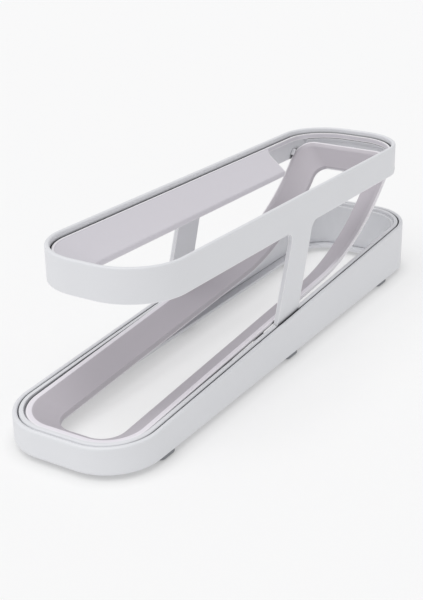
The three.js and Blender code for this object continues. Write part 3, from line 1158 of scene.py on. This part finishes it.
@dataclass
class Feet:
    """Six ribbed rubber pads, three along each long side."""

    sizes: HolderSizes
    finish: bpy.types.Material
    length: float = 13.5
    width: float = 8.5
    corner_radius: float = 3.0
    bevel: float = 0.5
    edge_margin: float = 1.2
    pocket_depth: float = 0.9
    shares: tuple[float, ...] = (-0.3858, -0.0082, 0.3554)
    rib_count: int = 5
    rib_pitch: float = 2.1
    rib_width: float = 1.1
    rib_depth: float = 0.5
    rib_end_share: float = 1 / 2.1

    def places(self) -> list[tuple[float, float]]:
        """The middles of the six feet, left before right, from the front.

        Returns:
            X and y of each.
        """
        x = self.sizes.half_width - self.edge_margin - self.width / 2
        rows = [share * self.sizes.base_length for share in self.shares]
        return [(side * x, y) for y in rows for side in (-1, 1)]

    def outline(self, place: tuple[float, float], margin: float = 0.0, steps: int = 6) -> Section:
        """Plan outline of one foot, grown by a margin.

        Args:
            place: x and y of the foot's middle.
            margin: how far it is grown.
            steps: facets in each corner.

        Returns:
            The outline's points.
        """
        x, y = place
        half_width, half_length = self.width / 2 + margin, self.length / 2 + margin
        radius = self.corner_radius + margin
        return round_corners([
            (x - half_width, y - half_length, radius),
            (x + half_width, y - half_length, radius),
            (x + half_width, y + half_length, radius),
            (x - half_width, y + half_length, radius),
        ], steps)

    def tree(self) -> bpy.types.NodeTree:
        """Tree that puts a row of ribs below a pad, and the ribbed pad at each point.

        Returns:
            The tree.
        """
        tree, given = start_tree(
            "Ribbed feet", ("Rib pitch",), {"Ribs": "Int", "Pad": "Object", "Rib": "Object"}
        )
        pad = add_node(tree, "GeometryNodeObjectInfo", {"Object": given.outputs["Pad"]})
        rib = add_node(tree, "GeometryNodeObjectInfo", {"Object": given.outputs["Rib"]})
        start: bpy.types.NodeSocket = given.outputs["Ribs"]
        for operation, term in (
            ("SUBTRACT", 1.0), ("MULTIPLY", given.outputs["Rib pitch"]), ("MULTIPLY", -0.5)
        ):
            start = add_node(
                tree, "ShaderNodeMath", {0: start, 1: term}, operation=operation
            ).outputs[0]
        first = add_node(tree, "ShaderNodeCombineXYZ", {"Y": start})
        step = add_node(tree, "ShaderNodeCombineXYZ", {"Y": given.outputs["Rib pitch"]})
        line = add_node(
            tree,
            "GeometryNodeMeshLine",
            {
                "Count": given.outputs["Ribs"],
                "Start Location": first.outputs[0],
                "Offset": step.outputs[0],
            },
        )
        ribs = add_node(
            tree,
            "GeometryNodeInstanceOnPoints",
            {"Points": line.outputs[0], "Instance": rib.outputs["Geometry"]},
        )
        ribs_real = add_node(tree, "GeometryNodeRealizeInstances", {"Geometry": ribs.outputs[0]})
        foot = add_node(tree, "GeometryNodeMeshBoolean", operation="UNION", solver="MANIFOLD")
        for solid in (pad.outputs["Geometry"], ribs_real.outputs[0]):
            tree.links.new(solid, foot.inputs["Mesh 2"])
        feet = add_node(
            tree,
            "GeometryNodeInstanceOnPoints",
            {"Points": given.outputs[0], "Instance": foot.outputs[0]},
        )
        return end_tree(tree, given, feet.outputs[0])

    def build(self) -> bpy.types.Object:
        """Makes the six feet as one piece.

        Returns:
            The finished piece.
        """
        s = self.sizes
        top = s.foot_height + self.pocket_depth - s.fit
        block = standing(self.outline((0, 0)), self.rib_depth, top)
        pad = new_object("pad", prism_mesh("pad", block))
        soften(pad, self.bevel)
        half, side = self.width / 2 - self.corner_radius / 2, self.rib_width / 2
        end = self.rib_width * self.rib_end_share
        bar = round_corners(
            [(-half, -side, end), (half, -side, end), (half, side, end), (-half, side, end)], 4
        )
        rib = new_object("rib", prism_mesh("rib", standing(bar, 0.0, self.rib_depth + self.bevel)))
        points = bpy.data.meshes.new("foot_places")
        points.from_pydata([(x * MM, y * MM, 0.0) for x, y in self.places()], [], [])
        piece = run_tree("rubber_feet", points, self.tree(), {
            "Ribs": self.rib_count,
            "Rib pitch": self.rib_pitch * MM,
            "Pad": pad,
            "Rib": rib,
            "Material": self.finish,
        })
        for tool in (pad, rib):
            bpy.data.objects.remove(tool)
        nodes = [f"foot_{row.value}_{side}" for row in Row for side in ("left", "right")]
        return settle(smooth(piece), Slot.FOOT, *nodes)


@dataclass
class BaseRing:
    """The outer ring that stands on the feet, with its floor flange."""

    sizes: HolderSizes
    snaps: Snaps
    feet: Feet
    tree: bpy.types.NodeTree
    finish: bpy.types.Material
    flange_reach: float = 13.0
    edge_radius: float = 1.6
    rim_radius: float = 1.2
    floor_fillet: float = 1.5
    flange_radius: float = 0.6
    corner_facets: int = 28

    def build(self) -> bpy.types.Object:
        """Sweeps the wall and its flange round the ring.

        Returns:
            The finished piece.
        """
        s = self.sizes
        height = s.front_rim - s.foot_height
        section = round_corners([
            (0, 0, self.edge_radius),
            (0, height, self.rim_radius),
            (s.base_wall, height, self.rim_radius),
            (s.base_wall, s.floor_thickness, self.floor_fillet),
            (self.flange_reach, s.floor_thickness, self.flange_radius),
            (self.flange_reach, 0, self.flange_radius),
        ])
        piece = run_tree("base_ring_shell", section_mesh(section), self.tree, {
            "Width": s.base_width * MM,
            "Length": s.base_length * MM,
            "Middle": 0.0,
            "Corner radius": s.base_radius * MM,
            "Split": height / 2 * MM,
            "Floor": s.foot_height * MM,
            "Hung height": (s.rim_height(0) - height) * MM,
            "Rim slope": s.lower_rise,
            "Corner facets": self.corner_facets,
            "Material": self.finish,
        })
        low, high = s.foot_height - s.overrun, s.foot_height + self.feet.pocket_depth
        outlines = [self.feet.outline(place, s.fit) for place in self.feet.places()]
        pockets = [end for outline in outlines for end in standing(outline, low, high)]
        combine(piece, "foot_pockets", pockets, Join.CUT)
        combine(piece, "barb_pockets", self.snaps.leg_barbs(s.fit), Join.CUT)
        combine(piece, "ribs", self.snaps.base_ribs(), Join.ADD)
        return settle(smooth(piece), Slot.SHELL, "base_ring")


@dataclass
class TrayRing:
    """The ring nested in the base ring, joggled inward to make a shelf for the slide."""

    sizes: HolderSizes
    leg: LegSizes
    snaps: Snaps
    tree: bpy.types.NodeTree
    finish: bpy.types.Material
    rim_radius: float = 1.2
    inner_rim_radius: float = 0.45
    edge_radius: float = 0.3
    shelf_zone: float = 0.36
    corner_facets: int = 28

    def build(self) -> bpy.types.Object:
        """Sweeps the joggled wall and notches it for the legs.

        Returns:
            The finished piece.
        """
        s = self.sizes
        floor = s.floor_top + s.fit
        height = s.front_rim - floor
        shelf = height - s.slide_sheet - s.fit
        shoulder = height - s.tray_shoulder_depth
        inner = s.tray_wall + s.tray_joggle
        section = round_corners([
            (s.tray_joggle, 0, self.edge_radius),
            (s.tray_joggle, shoulder, self.edge_radius),
            (0, shoulder + s.tray_joggle / 2, self.edge_radius),
            (0, height, self.rim_radius),
            (s.tray_wall, height, self.inner_rim_radius),
            (s.tray_wall, shelf, self.edge_radius),
            (inner, shelf, self.edge_radius),
            (inner, 0, self.edge_radius),
        ])
        piece = run_tree("tray_ring_shell", section_mesh(section), self.tree, {
            "Width": 2 * s.tray_half_width * MM,
            "Length": (s.base_length - 2 * s.tray_inset) * MM,
            "Middle": 0.0,
            "Corner radius": (s.base_radius - s.tray_inset) * MM,
            "Split": height / 2 * MM,
            "Floor": floor * MM,
            "Hung height": (s.rim_height(0) - height) * MM,
            "Rim slope": s.lower_rise,
            "Corner facets": self.corner_facets,
            "Material": self.finish,
        })
        self.sink_shelf(piece)
        notch = self.leg.foot_outline(s, s.overrun, s.tray_shoulder_depth + s.fit, s.fit)
        inside, outside = s.tray_half_width - s.tray_wall - s.fit, s.tray_half_width + s.overrun
        combine(piece, "notches", across_sides(notch, inside, outside), Join.CUT)
        combine(piece, "hook_pockets", self.snaps.slide_hooks(s.fit), Join.CUT)
        combine(piece, "catches", self.snaps.tray_catches(), Join.ADD)
        return settle(smooth(piece), Slot.SHELL, "tray_ring")

    def sink_shelf(self, piece: bpy.types.Object) -> None:
        """Lowers the shelf where the slide lies below the rim, so that it follows the slide.

        Args:
            piece: the swept ring, which is changed.
        """
        s = self.sizes
        rest = s.slide_sheet + s.fit
        for vertex in piece.data.vertices:
            y, z = vertex.co.y / MM, vertex.co.z / MM
            if abs(s.rim_height(y) - z - rest) < self.shelf_zone:
                vertex.co.z -= max(s.rim_height(y) - s.slide_height(y), 0.0) * MM


@dataclass
class Slide:
    """The loop that is the lower rails and bends up behind as the slide."""

    sizes: HolderSizes
    snaps: Snaps
    finish: bpy.types.Material
    land: float = 3.3
    depth: float = 7.7
    lip: float = 1.6
    rim_radius: float = 0.45
    edge_radius: float = 0.5
    valley_radius: float = 1.0
    section_facets: int = 5
    end_reach: float = 13.4
    slot_radius: float = 13.0
    top_radius: float = 14.0
    top_slot_radius: float = 8.0
    bend_from_rear: float = 132.0
    bend_radius: float = 147.0
    bend_top: float = math.radians(50)
    top_drop: float = 7.2
    side_steps: int = 48
    corner_facets: int = 20

    @property
    def bend_start(self) -> float:
        """Distance along the slide where it starts to bend up."""
        s = self.sizes
        return (s.rear - self.bend_from_rear - s.slide_front) / math.cos(s.slide_slope)

    @property
    def bend_end(self) -> float:
        """Distance along the slide where it runs straight again."""
        return self.bend_start + self.bend_radius * (self.bend_top - self.sizes.slide_slope)

    def point(self, distance: float, height: float) -> tuple[float, float]:
        """A place in the slide's side view.

        Args:
            distance: distance along the slide.
            height: height square to its path.

        Returns:
            Y and z.
        """
        s, slope, top = self.sizes, self.sizes.slide_slope, self.bend_top
        bent = min(max(distance, self.bend_start), self.bend_end) - self.bend_start
        angle = slope + bent / self.bend_radius
        before, after = min(distance, self.bend_start), max(distance - self.bend_end, 0.0)
        y = s.slide_front + before * math.cos(slope) + after * math.cos(top)
        z = s.slide_height(s.slide_front) + before * math.sin(slope) + after * math.sin(top)
        y += self.bend_radius * (math.sin(angle) - math.sin(slope))
        z += self.bend_radius * (math.cos(slope) - math.cos(angle))
        return y - height * math.sin(angle), z + height * math.cos(angle)

    @property
    def length(self) -> float:
        """Length along the slide, up to its top end below the trough's rim.

        Returns:
            The length in millimetres.
        """
        s = self.sizes
        y, z = self.point(self.bend_end, 0.0)
        climb = s.upper_rim_height(y) - self.top_drop - z
        closing = math.sin(self.bend_top) + s.upper_fall * math.cos(self.bend_top)
        return self.bend_end + climb / closing

    def flat_loop(self) -> bpy.types.Mesh:
        """The loop laid out flat: X across, Y along its length and Z square to its path.

        Returns:
            The loop's mesh.
        """
        s, length = self.sizes, self.length
        reach = s.slide_half_width - s.slot_half_width
        fall = math.atan(self.depth / (reach - self.land))
        under = s.slide_sheet / math.cos(fall)
        lip_inner, lip_bottom = reach - s.slide_sheet, -self.depth - under - self.lip
        lip_top = s.slide_sheet * math.tan(fall) - self.depth - under
        section = round_corners([
            (0, -s.slide_sheet, self.edge_radius),
            (0, 0, self.rim_radius),
            (self.land, 0, self.land),
            (reach, -self.depth, self.valley_radius),
            (reach, lip_bottom, self.edge_radius),
            (lip_inner, lip_bottom, self.edge_radius),
            (lip_inner, lip_top, self.edge_radius),
            (self.land - s.slide_sheet * math.tan(fall / 2), -s.slide_sheet, self.valley_radius),
        ], self.section_facets)
        last_stop = length - max(self.top_radius, self.end_reach + self.top_slot_radius)
        stops = np.linspace(self.bend_start / 2, last_stop, self.side_steps).tolist()
        outer = rounded_outline(
            s.slide_half_width, 0.0, length, s.slide_half_width - s.base_end_flat,
            self.top_radius, stops, self.corner_facets,
        )
        slot = rounded_outline(
            s.slot_half_width, self.end_reach, length - self.end_reach, self.slot_radius,
            self.top_slot_radius, stops, self.corner_facets,
        )

        def place(
            station: np.ndarray, inset: float, height: float, index: int
        ) -> tuple[float, float, float]:
            """A point of the funnel, laid out flat."""
            x, along = funnel_point(station, slot[index], inset, self.land, reach)
            return x, along, height

        return sweep_mesh("flat_loop", outer, section, place)

    def bend_tree(self) -> bpy.types.NodeTree:
        """Tree that bends a flat loop up along the slide's side-view path.

        The path is a sloping straight, one arc and a steeper straight. Y is the distance along it.

        Returns:
            The tree.
        """
        tree, given = start_tree(
            "Slide path",
            ("Front", "Front height", "Slope", "Bend start", "Bend end", "Bend radius"),
        )
        here = add_node(tree, "GeometryNodeInputPosition")
        parts = add_node(tree, "ShaderNodeSeparateXYZ", {0: here.outputs[0]})
        value = {socket.name: socket for socket in (*given.outputs, *parts.outputs)}
        value["none"] = 0.0
        for result, operation, *terms in (
            # How far along a point is within the bend, and the path's angle there.
            ("above", "MAXIMUM", "Y", "Bend start"),
            ("within", "MINIMUM", "above", "Bend end"),
            ("bent", "SUBTRACT", "within", "Bend start"),
            ("turned", "DIVIDE", "bent", "Bend radius"),
            ("angle", "ADD", "turned", "Slope"),
            ("sine", "SINE", "angle"),
            ("cosine", "COSINE", "angle"),
            # The straight before the bend, and the one after it.
            ("before", "MINIMUM", "Y", "Bend start"),
            ("past", "SUBTRACT", "Y", "Bend end"),
            ("after", "MAXIMUM", "past", "none"),
            ("slope sine", "SINE", "Slope"),
            ("slope cosine", "COSINE", "Slope"),
            # Y of the path.
            ("sine gain", "SUBTRACT", "sine", "slope sine"),
            ("y straight", "MULTIPLY_ADD", "before", "slope cosine", "Front"),
            ("y arc", "MULTIPLY_ADD", "Bend radius", "sine gain", "y straight"),
            ("y path", "MULTIPLY_ADD", "after", "cosine", "y arc"),
            # Z of the path.
            ("cosine gain", "SUBTRACT", "slope cosine", "cosine"),
            ("z straight", "MULTIPLY_ADD", "before", "slope sine", "Front height"),
            ("z arc", "MULTIPLY_ADD", "Bend radius", "cosine gain", "z straight"),
            ("z path", "MULTIPLY_ADD", "after", "sine", "z arc"),
            # The point itself, square to the path by its height.
            ("lean", "MULTIPLY", "Z", "sine"),
            ("y", "SUBTRACT", "y path", "lean"),
            ("z", "MULTIPLY_ADD", "Z", "cosine", "z path"),
        ):
            inputs = {index: value[term] for index, term in enumerate(terms)}
            node = add_node(tree, "ShaderNodeMath", inputs, operation=operation)
            value[result] = node.outputs[0]
        point = add_node(
            tree, "ShaderNodeCombineXYZ", {0: value["X"], 1: value["y"], 2: value["z"]}
        )
        placed = add_node(
            tree,
            "GeometryNodeSetPosition",
            {"Geometry": value["Geometry"], "Position": point.outputs[0]},
        )
        return end_tree(tree, given, placed.outputs[0])

    def build(self) -> bpy.types.Object:
        """Bends the flat loop up its path and adds the hooks.

        Returns:
            The finished piece.
        """
        s = self.sizes
        piece = run_tree("slide_rails", self.flat_loop(), self.bend_tree(), {
            "Front": s.slide_front * MM,
            "Front height": s.slide_height(s.slide_front) * MM,
            "Slope": s.slide_slope,
            "Bend start": self.bend_start * MM,
            "Bend end": self.bend_end * MM,
            "Bend radius": self.bend_radius * MM,
            "Material": self.finish,
        })
        combine(piece, "hooks", self.snaps.slide_hooks(), Join.ADD)
        return settle(smooth(piece), Slot.TRACK, "slide")


@dataclass
class UpperFrame:
    """The upper ring with its two legs and the clips for the slide's top end."""

    sizes: HolderSizes
    leg: LegSizes
    snaps: Snaps
    slide: Slide
    tree: bpy.types.NodeTree
    finish: bpy.types.Material
    rim_radius: float = 1.1
    lower_radius: float = 0.6
    ledge_width: float = 2.0
    ledge_thickness: float = 0.9
    ledge_radius: float = 0.2
    ledge_fillet: float = 0.6
    edge_zone: float = 0.2
    wing_reach_share: float = 3.0
    fillet_facets: int = 14
    drop_hole_length: float = 64.0
    drop_hole_shoulder: float = 14.0
    clip_from_top: float = 8.3
    clip_length: float = 4.6
    clip_reach: float = 2.6
    clip_thickness: float = 1.6
    corner_facets: int = 32

    @property
    def drop_hole_front(self) -> float:
        """Y where the trough's drop hole begins."""
        s = self.sizes
        return (s.upper_rear - s.band_wall - s.trough_gap - self.snaps.trough_rim_width
                - self.drop_hole_length)

    def band(self) -> bpy.types.Object:
        """The wall with its rounded rim and the inner ledge.

        Returns:
            The swept band.
        """
        s, snaps = self.sizes, self.snaps
        ledge = -snaps.trough_rim_drop - snaps.trough_skirt - s.fit
        step = s.band_wall + self.ledge_width
        section = round_corners([
            (0, -s.band_height),
            (0, 0, self.rim_radius),
            (s.band_wall, 0, self.rim_radius),
            (s.band_wall, ledge, self.ledge_radius),
            (step, ledge, self.ledge_radius),
            (step, ledge - self.ledge_thickness, self.ledge_radius),
            (s.band_wall, ledge - self.ledge_thickness - self.ledge_width, self.ledge_fillet),
            (s.band_wall, -s.band_height),
        ])
        return run_tree("upper_frame_shell", section_mesh(section), self.tree, {
            "Width": 2 * s.tray_half_width * MM,
            "Length": (s.upper_rear - s.upper_front) * MM,
            "Middle": (s.upper_rear + s.upper_front) / 2 * MM,
            "Corner radius": s.upper_radius * MM,
            "Split": -1.0,
            "Floor": 0.0,
            "Hung height": s.upper_rim_height(0) * MM,
            "Rim slope": -s.upper_fall,
            "Corner facets": self.corner_facets,
            "Material": self.finish,
        })

    def ledge_break(self) -> Ends:
        """The two stretches beside the drop hole where the ledge is left off.

        Returns:
            The end polygons of the cut.
        """
        s = self.sizes
        rear = s.upper_rear - s.band_wall - self.drop_hole_shoulder
        inner = rounded_outline(
            s.band_inner, s.upper_front + s.band_wall, s.upper_rear - s.band_wall,
            s.upper_radius - s.band_wall, steps=self.corner_facets,
        )
        side = [(x, y) for x, y, *_ in inner if x > 0 and self.drop_hole_front < y < rear]
        x_rear = np.interp(
            rear, [y for _, y in side] + [s.upper_rear], [x for x, _ in side] + [0.0]
        )
        right = [(s.band_inner, self.drop_hole_front), *side, (float(x_rear), rear)]
        return standing(right + [(-x, y) for x, y in reversed(right)], *s.upper_span)

    def legs(self) -> Ends:
        """The filleted blades of the two legs.

        Returns:
            Their end polygons.
        """
        s, leg = self.sizes, self.leg
        (fy, fz), (ry, rz), *_ = leg.foot_outline(s, 0, s.tray_shoulder_depth, 0)
        head_rear = leg.head_front + leg.head_width
        front = leg.head_front - self.wing_reach_share * leg.front_fillet
        rear = head_rear + self.wing_reach_share * leg.rear_fillet
        spots = (leg.head_front, head_rear, front, rear)
        under = {y: s.upper_rim_height(y) - s.band_height for y in spots}
        blade = round_corners([
            (fy, fz),
            (ry, rz),
            (head_rear, under[head_rear], leg.rear_fillet),
            (rear, under[rear]),
            (rear, under[rear] + s.band_height / 2),
            (front, under[front] + s.band_height / 2),
            (front, under[front]),
            (leg.head_front, under[leg.head_front], leg.front_fillet),
        ], self.fillet_facets)
        return across_sides(blade, s.band_inner, s.tray_half_width)

    def tongues(self) -> Ends:
        """The thinner tongues that plug behind the base ring's walls.

        Returns:
            Their end polygons.
        """
        s, leg = self.sizes, self.leg
        (fy, fz), (ry, rz), *_ = leg.foot_outline(s, 0, s.tray_shoulder_depth, 0)
        tip = s.floor_top + leg.floor_fillet + s.fit
        front, rear = fy + leg.tongue_inset, ry - leg.tongue_inset
        points = [(front, tip), (rear, tip), (rear, rz + s.overrun), (front, fz + s.overrun)]
        return across_sides(points, s.tray_half_width - leg.tongue_thickness, s.tray_half_width)

    def clips(self) -> Ends:
        """The jaws that hold the two edges of the slide's top end.

        Returns:
            Their end polygons.
        """
        s = self.sizes
        end = self.slide.length - self.clip_from_top
        reach, root = s.band_inner - self.clip_reach, s.band_inner + s.band_wall / 2
        start = end - self.clip_length
        jaws: Ends = []
        for low in (-s.slide_sheet - s.fit - self.clip_thickness, s.fit):
            high = low + self.clip_thickness
            corners = [(start, low), (end, low), (end, high), (start, high)]
            jaws += across_sides([self.slide.point(*corner) for corner in corners], reach, root)
        return jaws

    def build(self) -> bpy.types.Object:
        """Joins the band, the legs and the clips, and rounds the lower edges.

        Returns:
            The finished piece.
        """
        s = self.sizes
        piece = self.band()
        combine(piece, "ledge_break", self.ledge_break(), Join.CUT)
        combine(piece, "legs", self.legs(), Join.ADD)

        def is_lower_edge(edge: bmesh.types.BMEdge) -> bool:
            """Whether an edge is on the band's lower rim or round a leg."""
            middle = (edge.verts[0].co + edge.verts[1].co) / 2 / MM
            return s.upper_rim_height(middle.y) - middle.z > s.band_height - self.edge_zone

        soften(piece, self.lower_radius, is_lower_edge)
        combine(piece, "tongues", self.tongues(), Join.ADD)
        combine(piece, "dimples", self.snaps.trough_beads(s.fit), Join.CUT)
        combine(piece, "barbs", self.snaps.leg_barbs(), Join.ADD)
        combine(piece, "clips", self.clips(), Join.ADD)
        return settle(smooth(piece), Slot.SHELL, "upper_frame")


@dataclass
class Trough:
    """The funnel-walled trough of the upper tier, with its slot and its drop hole."""

    sizes: HolderSizes
    snaps: Snaps
    frame: UpperFrame
    finish: bpy.types.Material
    sheet: float = 1.8
    rim_step: float = 0.45
    rim_radius: float = 0.5
    skirt_radius: float = 0.3
    lip: float = 3.4
    lip_radius: float = 1.8
    inner_lip_radius: float = 1.0
    stop_setback: float = 62.0
    stop_count: int = 10
    section_facets: int = 5
    front_reach: float = 27.0
    slot_radius: float = 11.0
    drop_hole_radius: float = 6.0
    corner_facets: int = 32

    def build(self) -> bpy.types.Object:
        """Lofts the funnel from its rim to the slot and cuts the drop hole.

        Returns:
            The finished piece.
        """
        s, snaps = self.sizes, self.snaps
        inset = s.band_wall + s.trough_gap
        rim_width, rim_drop = snaps.trough_rim_width, snaps.trough_rim_drop
        reach = s.tray_half_width - inset - s.slot_half_width
        lip_top = self.lip - s.band_height
        fall = math.atan((-rim_drop - lip_top) / (reach - rim_width))
        under = self.sheet / math.cos(fall)
        skirt = -rim_drop - snaps.trough_skirt
        skirt_reach = rim_width + (snaps.trough_skirt - under) / math.tan(fall)
        lip_inner = reach - self.sheet
        section = round_corners([
            (0, skirt, self.skirt_radius),
            (0, -rim_drop, self.rim_radius),
            (rim_width, -rim_drop, self.rim_radius),
            (rim_width + self.rim_step / 2, -rim_drop - self.rim_step, self.skirt_radius),
            (reach, lip_top, self.lip_radius),
            (reach, -s.band_height, self.rim_radius),
            (lip_inner, -s.band_height, self.rim_radius),
            (lip_inner, lip_top + self.sheet * math.tan(fall) - under, self.inner_lip_radius),
            (skirt_reach, skirt, self.skirt_radius),
        ], self.section_facets)
        first, last = s.upper_front + self.stop_setback, s.upper_rear - self.stop_setback
        stops = np.linspace(first, last, self.stop_count).tolist()
        outer = rounded_outline(
            s.tray_half_width - inset, s.upper_front + inset, s.upper_rear - inset,
            s.upper_radius - inset, None, stops, self.corner_facets,
        )
        slot = rounded_outline(
            s.slot_half_width, s.upper_front + inset + self.front_reach,
            s.upper_rear - inset - reach, self.slot_radius, None, stops, self.corner_facets,
        )

        def place(
            station: np.ndarray, depth: float, height: float, index: int
        ) -> tuple[float, float, float]:
            """A point of the funnel, hung from the upper ring's rim."""
            x, y = funnel_point(station, slot[index], depth, rim_width, reach)
            return x, y, s.upper_rim_height(y) + height

        piece = new_object("trough_funnel", sweep_mesh("trough", outer, section, place))
        inside = inset + rim_width
        hole = rounded_outline(
            s.tray_half_width - inside, self.frame.drop_hole_front, s.upper_rear - inside,
            self.drop_hole_radius, s.upper_radius - inside, (), self.corner_facets,
        )
        ends = standing([(x, y) for x, y, *_ in hole], *s.upper_span)
        combine(piece, "drop_hole", ends, Join.CUT)
        combine(piece, "beads", snaps.trough_beads(), Join.ADD)
        piece.data.materials.clear()
        piece.data.materials.append(self.finish)
        return settle(smooth(piece), Slot.TRACK, "upper_trough")


@dataclass
class Studio:
    """Pale table, soft light and the camera."""

    table: bpy.types.Material
    table_size: float = 12.0
    lens: float = 71.57
    azimuth: float = 32.24
    elevation: float = 23.5
    roll: float = -1.0
    distance: float = 719.95
    target: tuple[float, float, float] = (-10.55, -10.21, 28.36)
    sensor_width: float = 36.0
    clip_m: tuple[float, float] = (0.01, 50.0)
    key_from: tuple[float, float, float] = (-0.1, -0.38, 0.92)
    key_strength: float = 1.3
    key_spread: float = 60.0
    room_colour: int = 0xF7F7F8
    room_strength: float = 0.66

    def floor(self) -> None:
        """The table that the holder stands on."""
        half = self.table_size / 2
        mesh = bpy.data.meshes.new("table")
        corners = [(-half, -half, 0.0), (half, -half, 0.0), (half, half, 0.0), (-half, half, 0.0)]
        mesh.from_pydata(corners, [], [(0, 1, 2, 3)])
        mesh.materials.append(self.table)
        made = new_object("table_top", mesh)

    def camera(self) -> None:
        """The camera, from the fit of the photograph's outlines."""
        degrees = (self.azimuth, self.elevation, self.roll)
        azimuth, elevation, roll = (math.radians(angle) for angle in degrees)
        back = Vector((
            math.sin(azimuth) * math.cos(elevation),
            -math.cos(azimuth) * math.cos(elevation),
            math.sin(elevation),
        ))
        right = Vector((math.cos(azimuth), math.sin(azimuth), 0.0))
        up = back.cross(right)
        turned_right = right * math.cos(roll) + up * math.sin(roll)
        turned_up = up * math.cos(roll) - right * math.sin(roll)
        data = bpy.data.cameras.new("camera")
        data.lens = self.lens
        data.sensor_width = self.sensor_width
        data.clip_start, data.clip_end = self.clip_m
        made = bpy.data.objects.new("camera", data)
        bpy.context.scene.collection.objects.link(made)
        turn = Matrix((turned_right, turned_up, back)).transposed().to_4x4()
        place = (Vector(self.target) + back * self.distance) * MM
        made.matrix_world = Matrix.Translation(place) @ turn
        bpy.context.scene.camera = made

    def lights(self) -> None:
        """A broad key from the front left and above, and the white room."""
        data = bpy.data.lights.new("key", "SUN")
        data.energy = self.key_strength
        data.angle = math.radians(self.key_spread)
        lamp = bpy.data.objects.new("key", data)
        lamp.rotation_mode = "QUATERNION"
        lamp.rotation_quaternion = Vector(self.key_from).to_track_quat("Z", "Y")
        bpy.context.scene.collection.objects.link(lamp)
        world = bpy.data.worlds.new("room")
        world.use_nodes = True
        world.node_tree.nodes.clear()
        room = add_node(
            world.node_tree,
            "ShaderNodeBackground",
            {"Color": srgb(self.room_colour), "Strength": self.room_strength},
        )
        add_node(world.node_tree, "ShaderNodeOutputWorld", {"Surface": room.outputs[0]})
        bpy.context.scene.world = world
        bpy.context.scene.view_settings.view_transform = "Standard"


def main() -> None:
    """Builds the holder and its studio."""
    logging.basicConfig(level=logging.INFO, format="%(name)s: %(message)s")
    shell = MouldedPolypropylene(
        "White polypropylene, satin moulded", 0xE5E6E9, 0xE1E2E5, 0xEFEFF1,
        dust_and_shade_colour=0x525358, highlight_mm=0.8, gap_mm=3.8,
    ).material()
    track = SlopeShadedPolypropylene(
        "White polypropylene, matt moulded", 0xF0EEF2, 0xECEAEE, 0xF0EEF0, 0.5,
        highlight_mm=1.4, slope_shade_colour=0xD9D6DC,
    ).material()
    rail = SlopeShadedPolypropylene(
        "White polypropylene, painted shade on slopes", 0xEDE9EF, 0xE9E5EB, 0xF8F6F9, 0.52,
        dust_and_shade_colour=0xB4B0B6, slope_shade_colour=0xC0BBC1,
    ).material()
    rubber = MouldedRubber("Grey thermoplastic rubber, moulded", 0x85878B, 0x8F9195).material()
    table = LitAcrylic("Opal acrylic, lit from below", 0xBCBCBC, 0.44).material()

    studio = Studio(table)
    studio.camera()
    studio.floor()
    studio.lights()

    sizes, leg = HolderSizes(), LegSizes()
    snaps = Snaps(sizes, leg)
    ring = ring_tree()
    feet = Feet(sizes, rubber)
    slide = Slide(sizes, snaps, rail)
    upper = UpperFrame(sizes, leg, snaps, slide, ring, shell)
    builders = [
        feet,
        BaseRing(sizes, snaps, feet, ring, shell),
        TrayRing(sizes, leg, snaps, ring, shell),
        slide,
        upper,
        Trough(sizes, snaps, upper, track),
    ]
    for builder in builders:
        piece = builder.build()
        LOG.info("%s: %d faces", piece.name, len(piece.data.polygons))


if __name__ == "__main__":
    main()
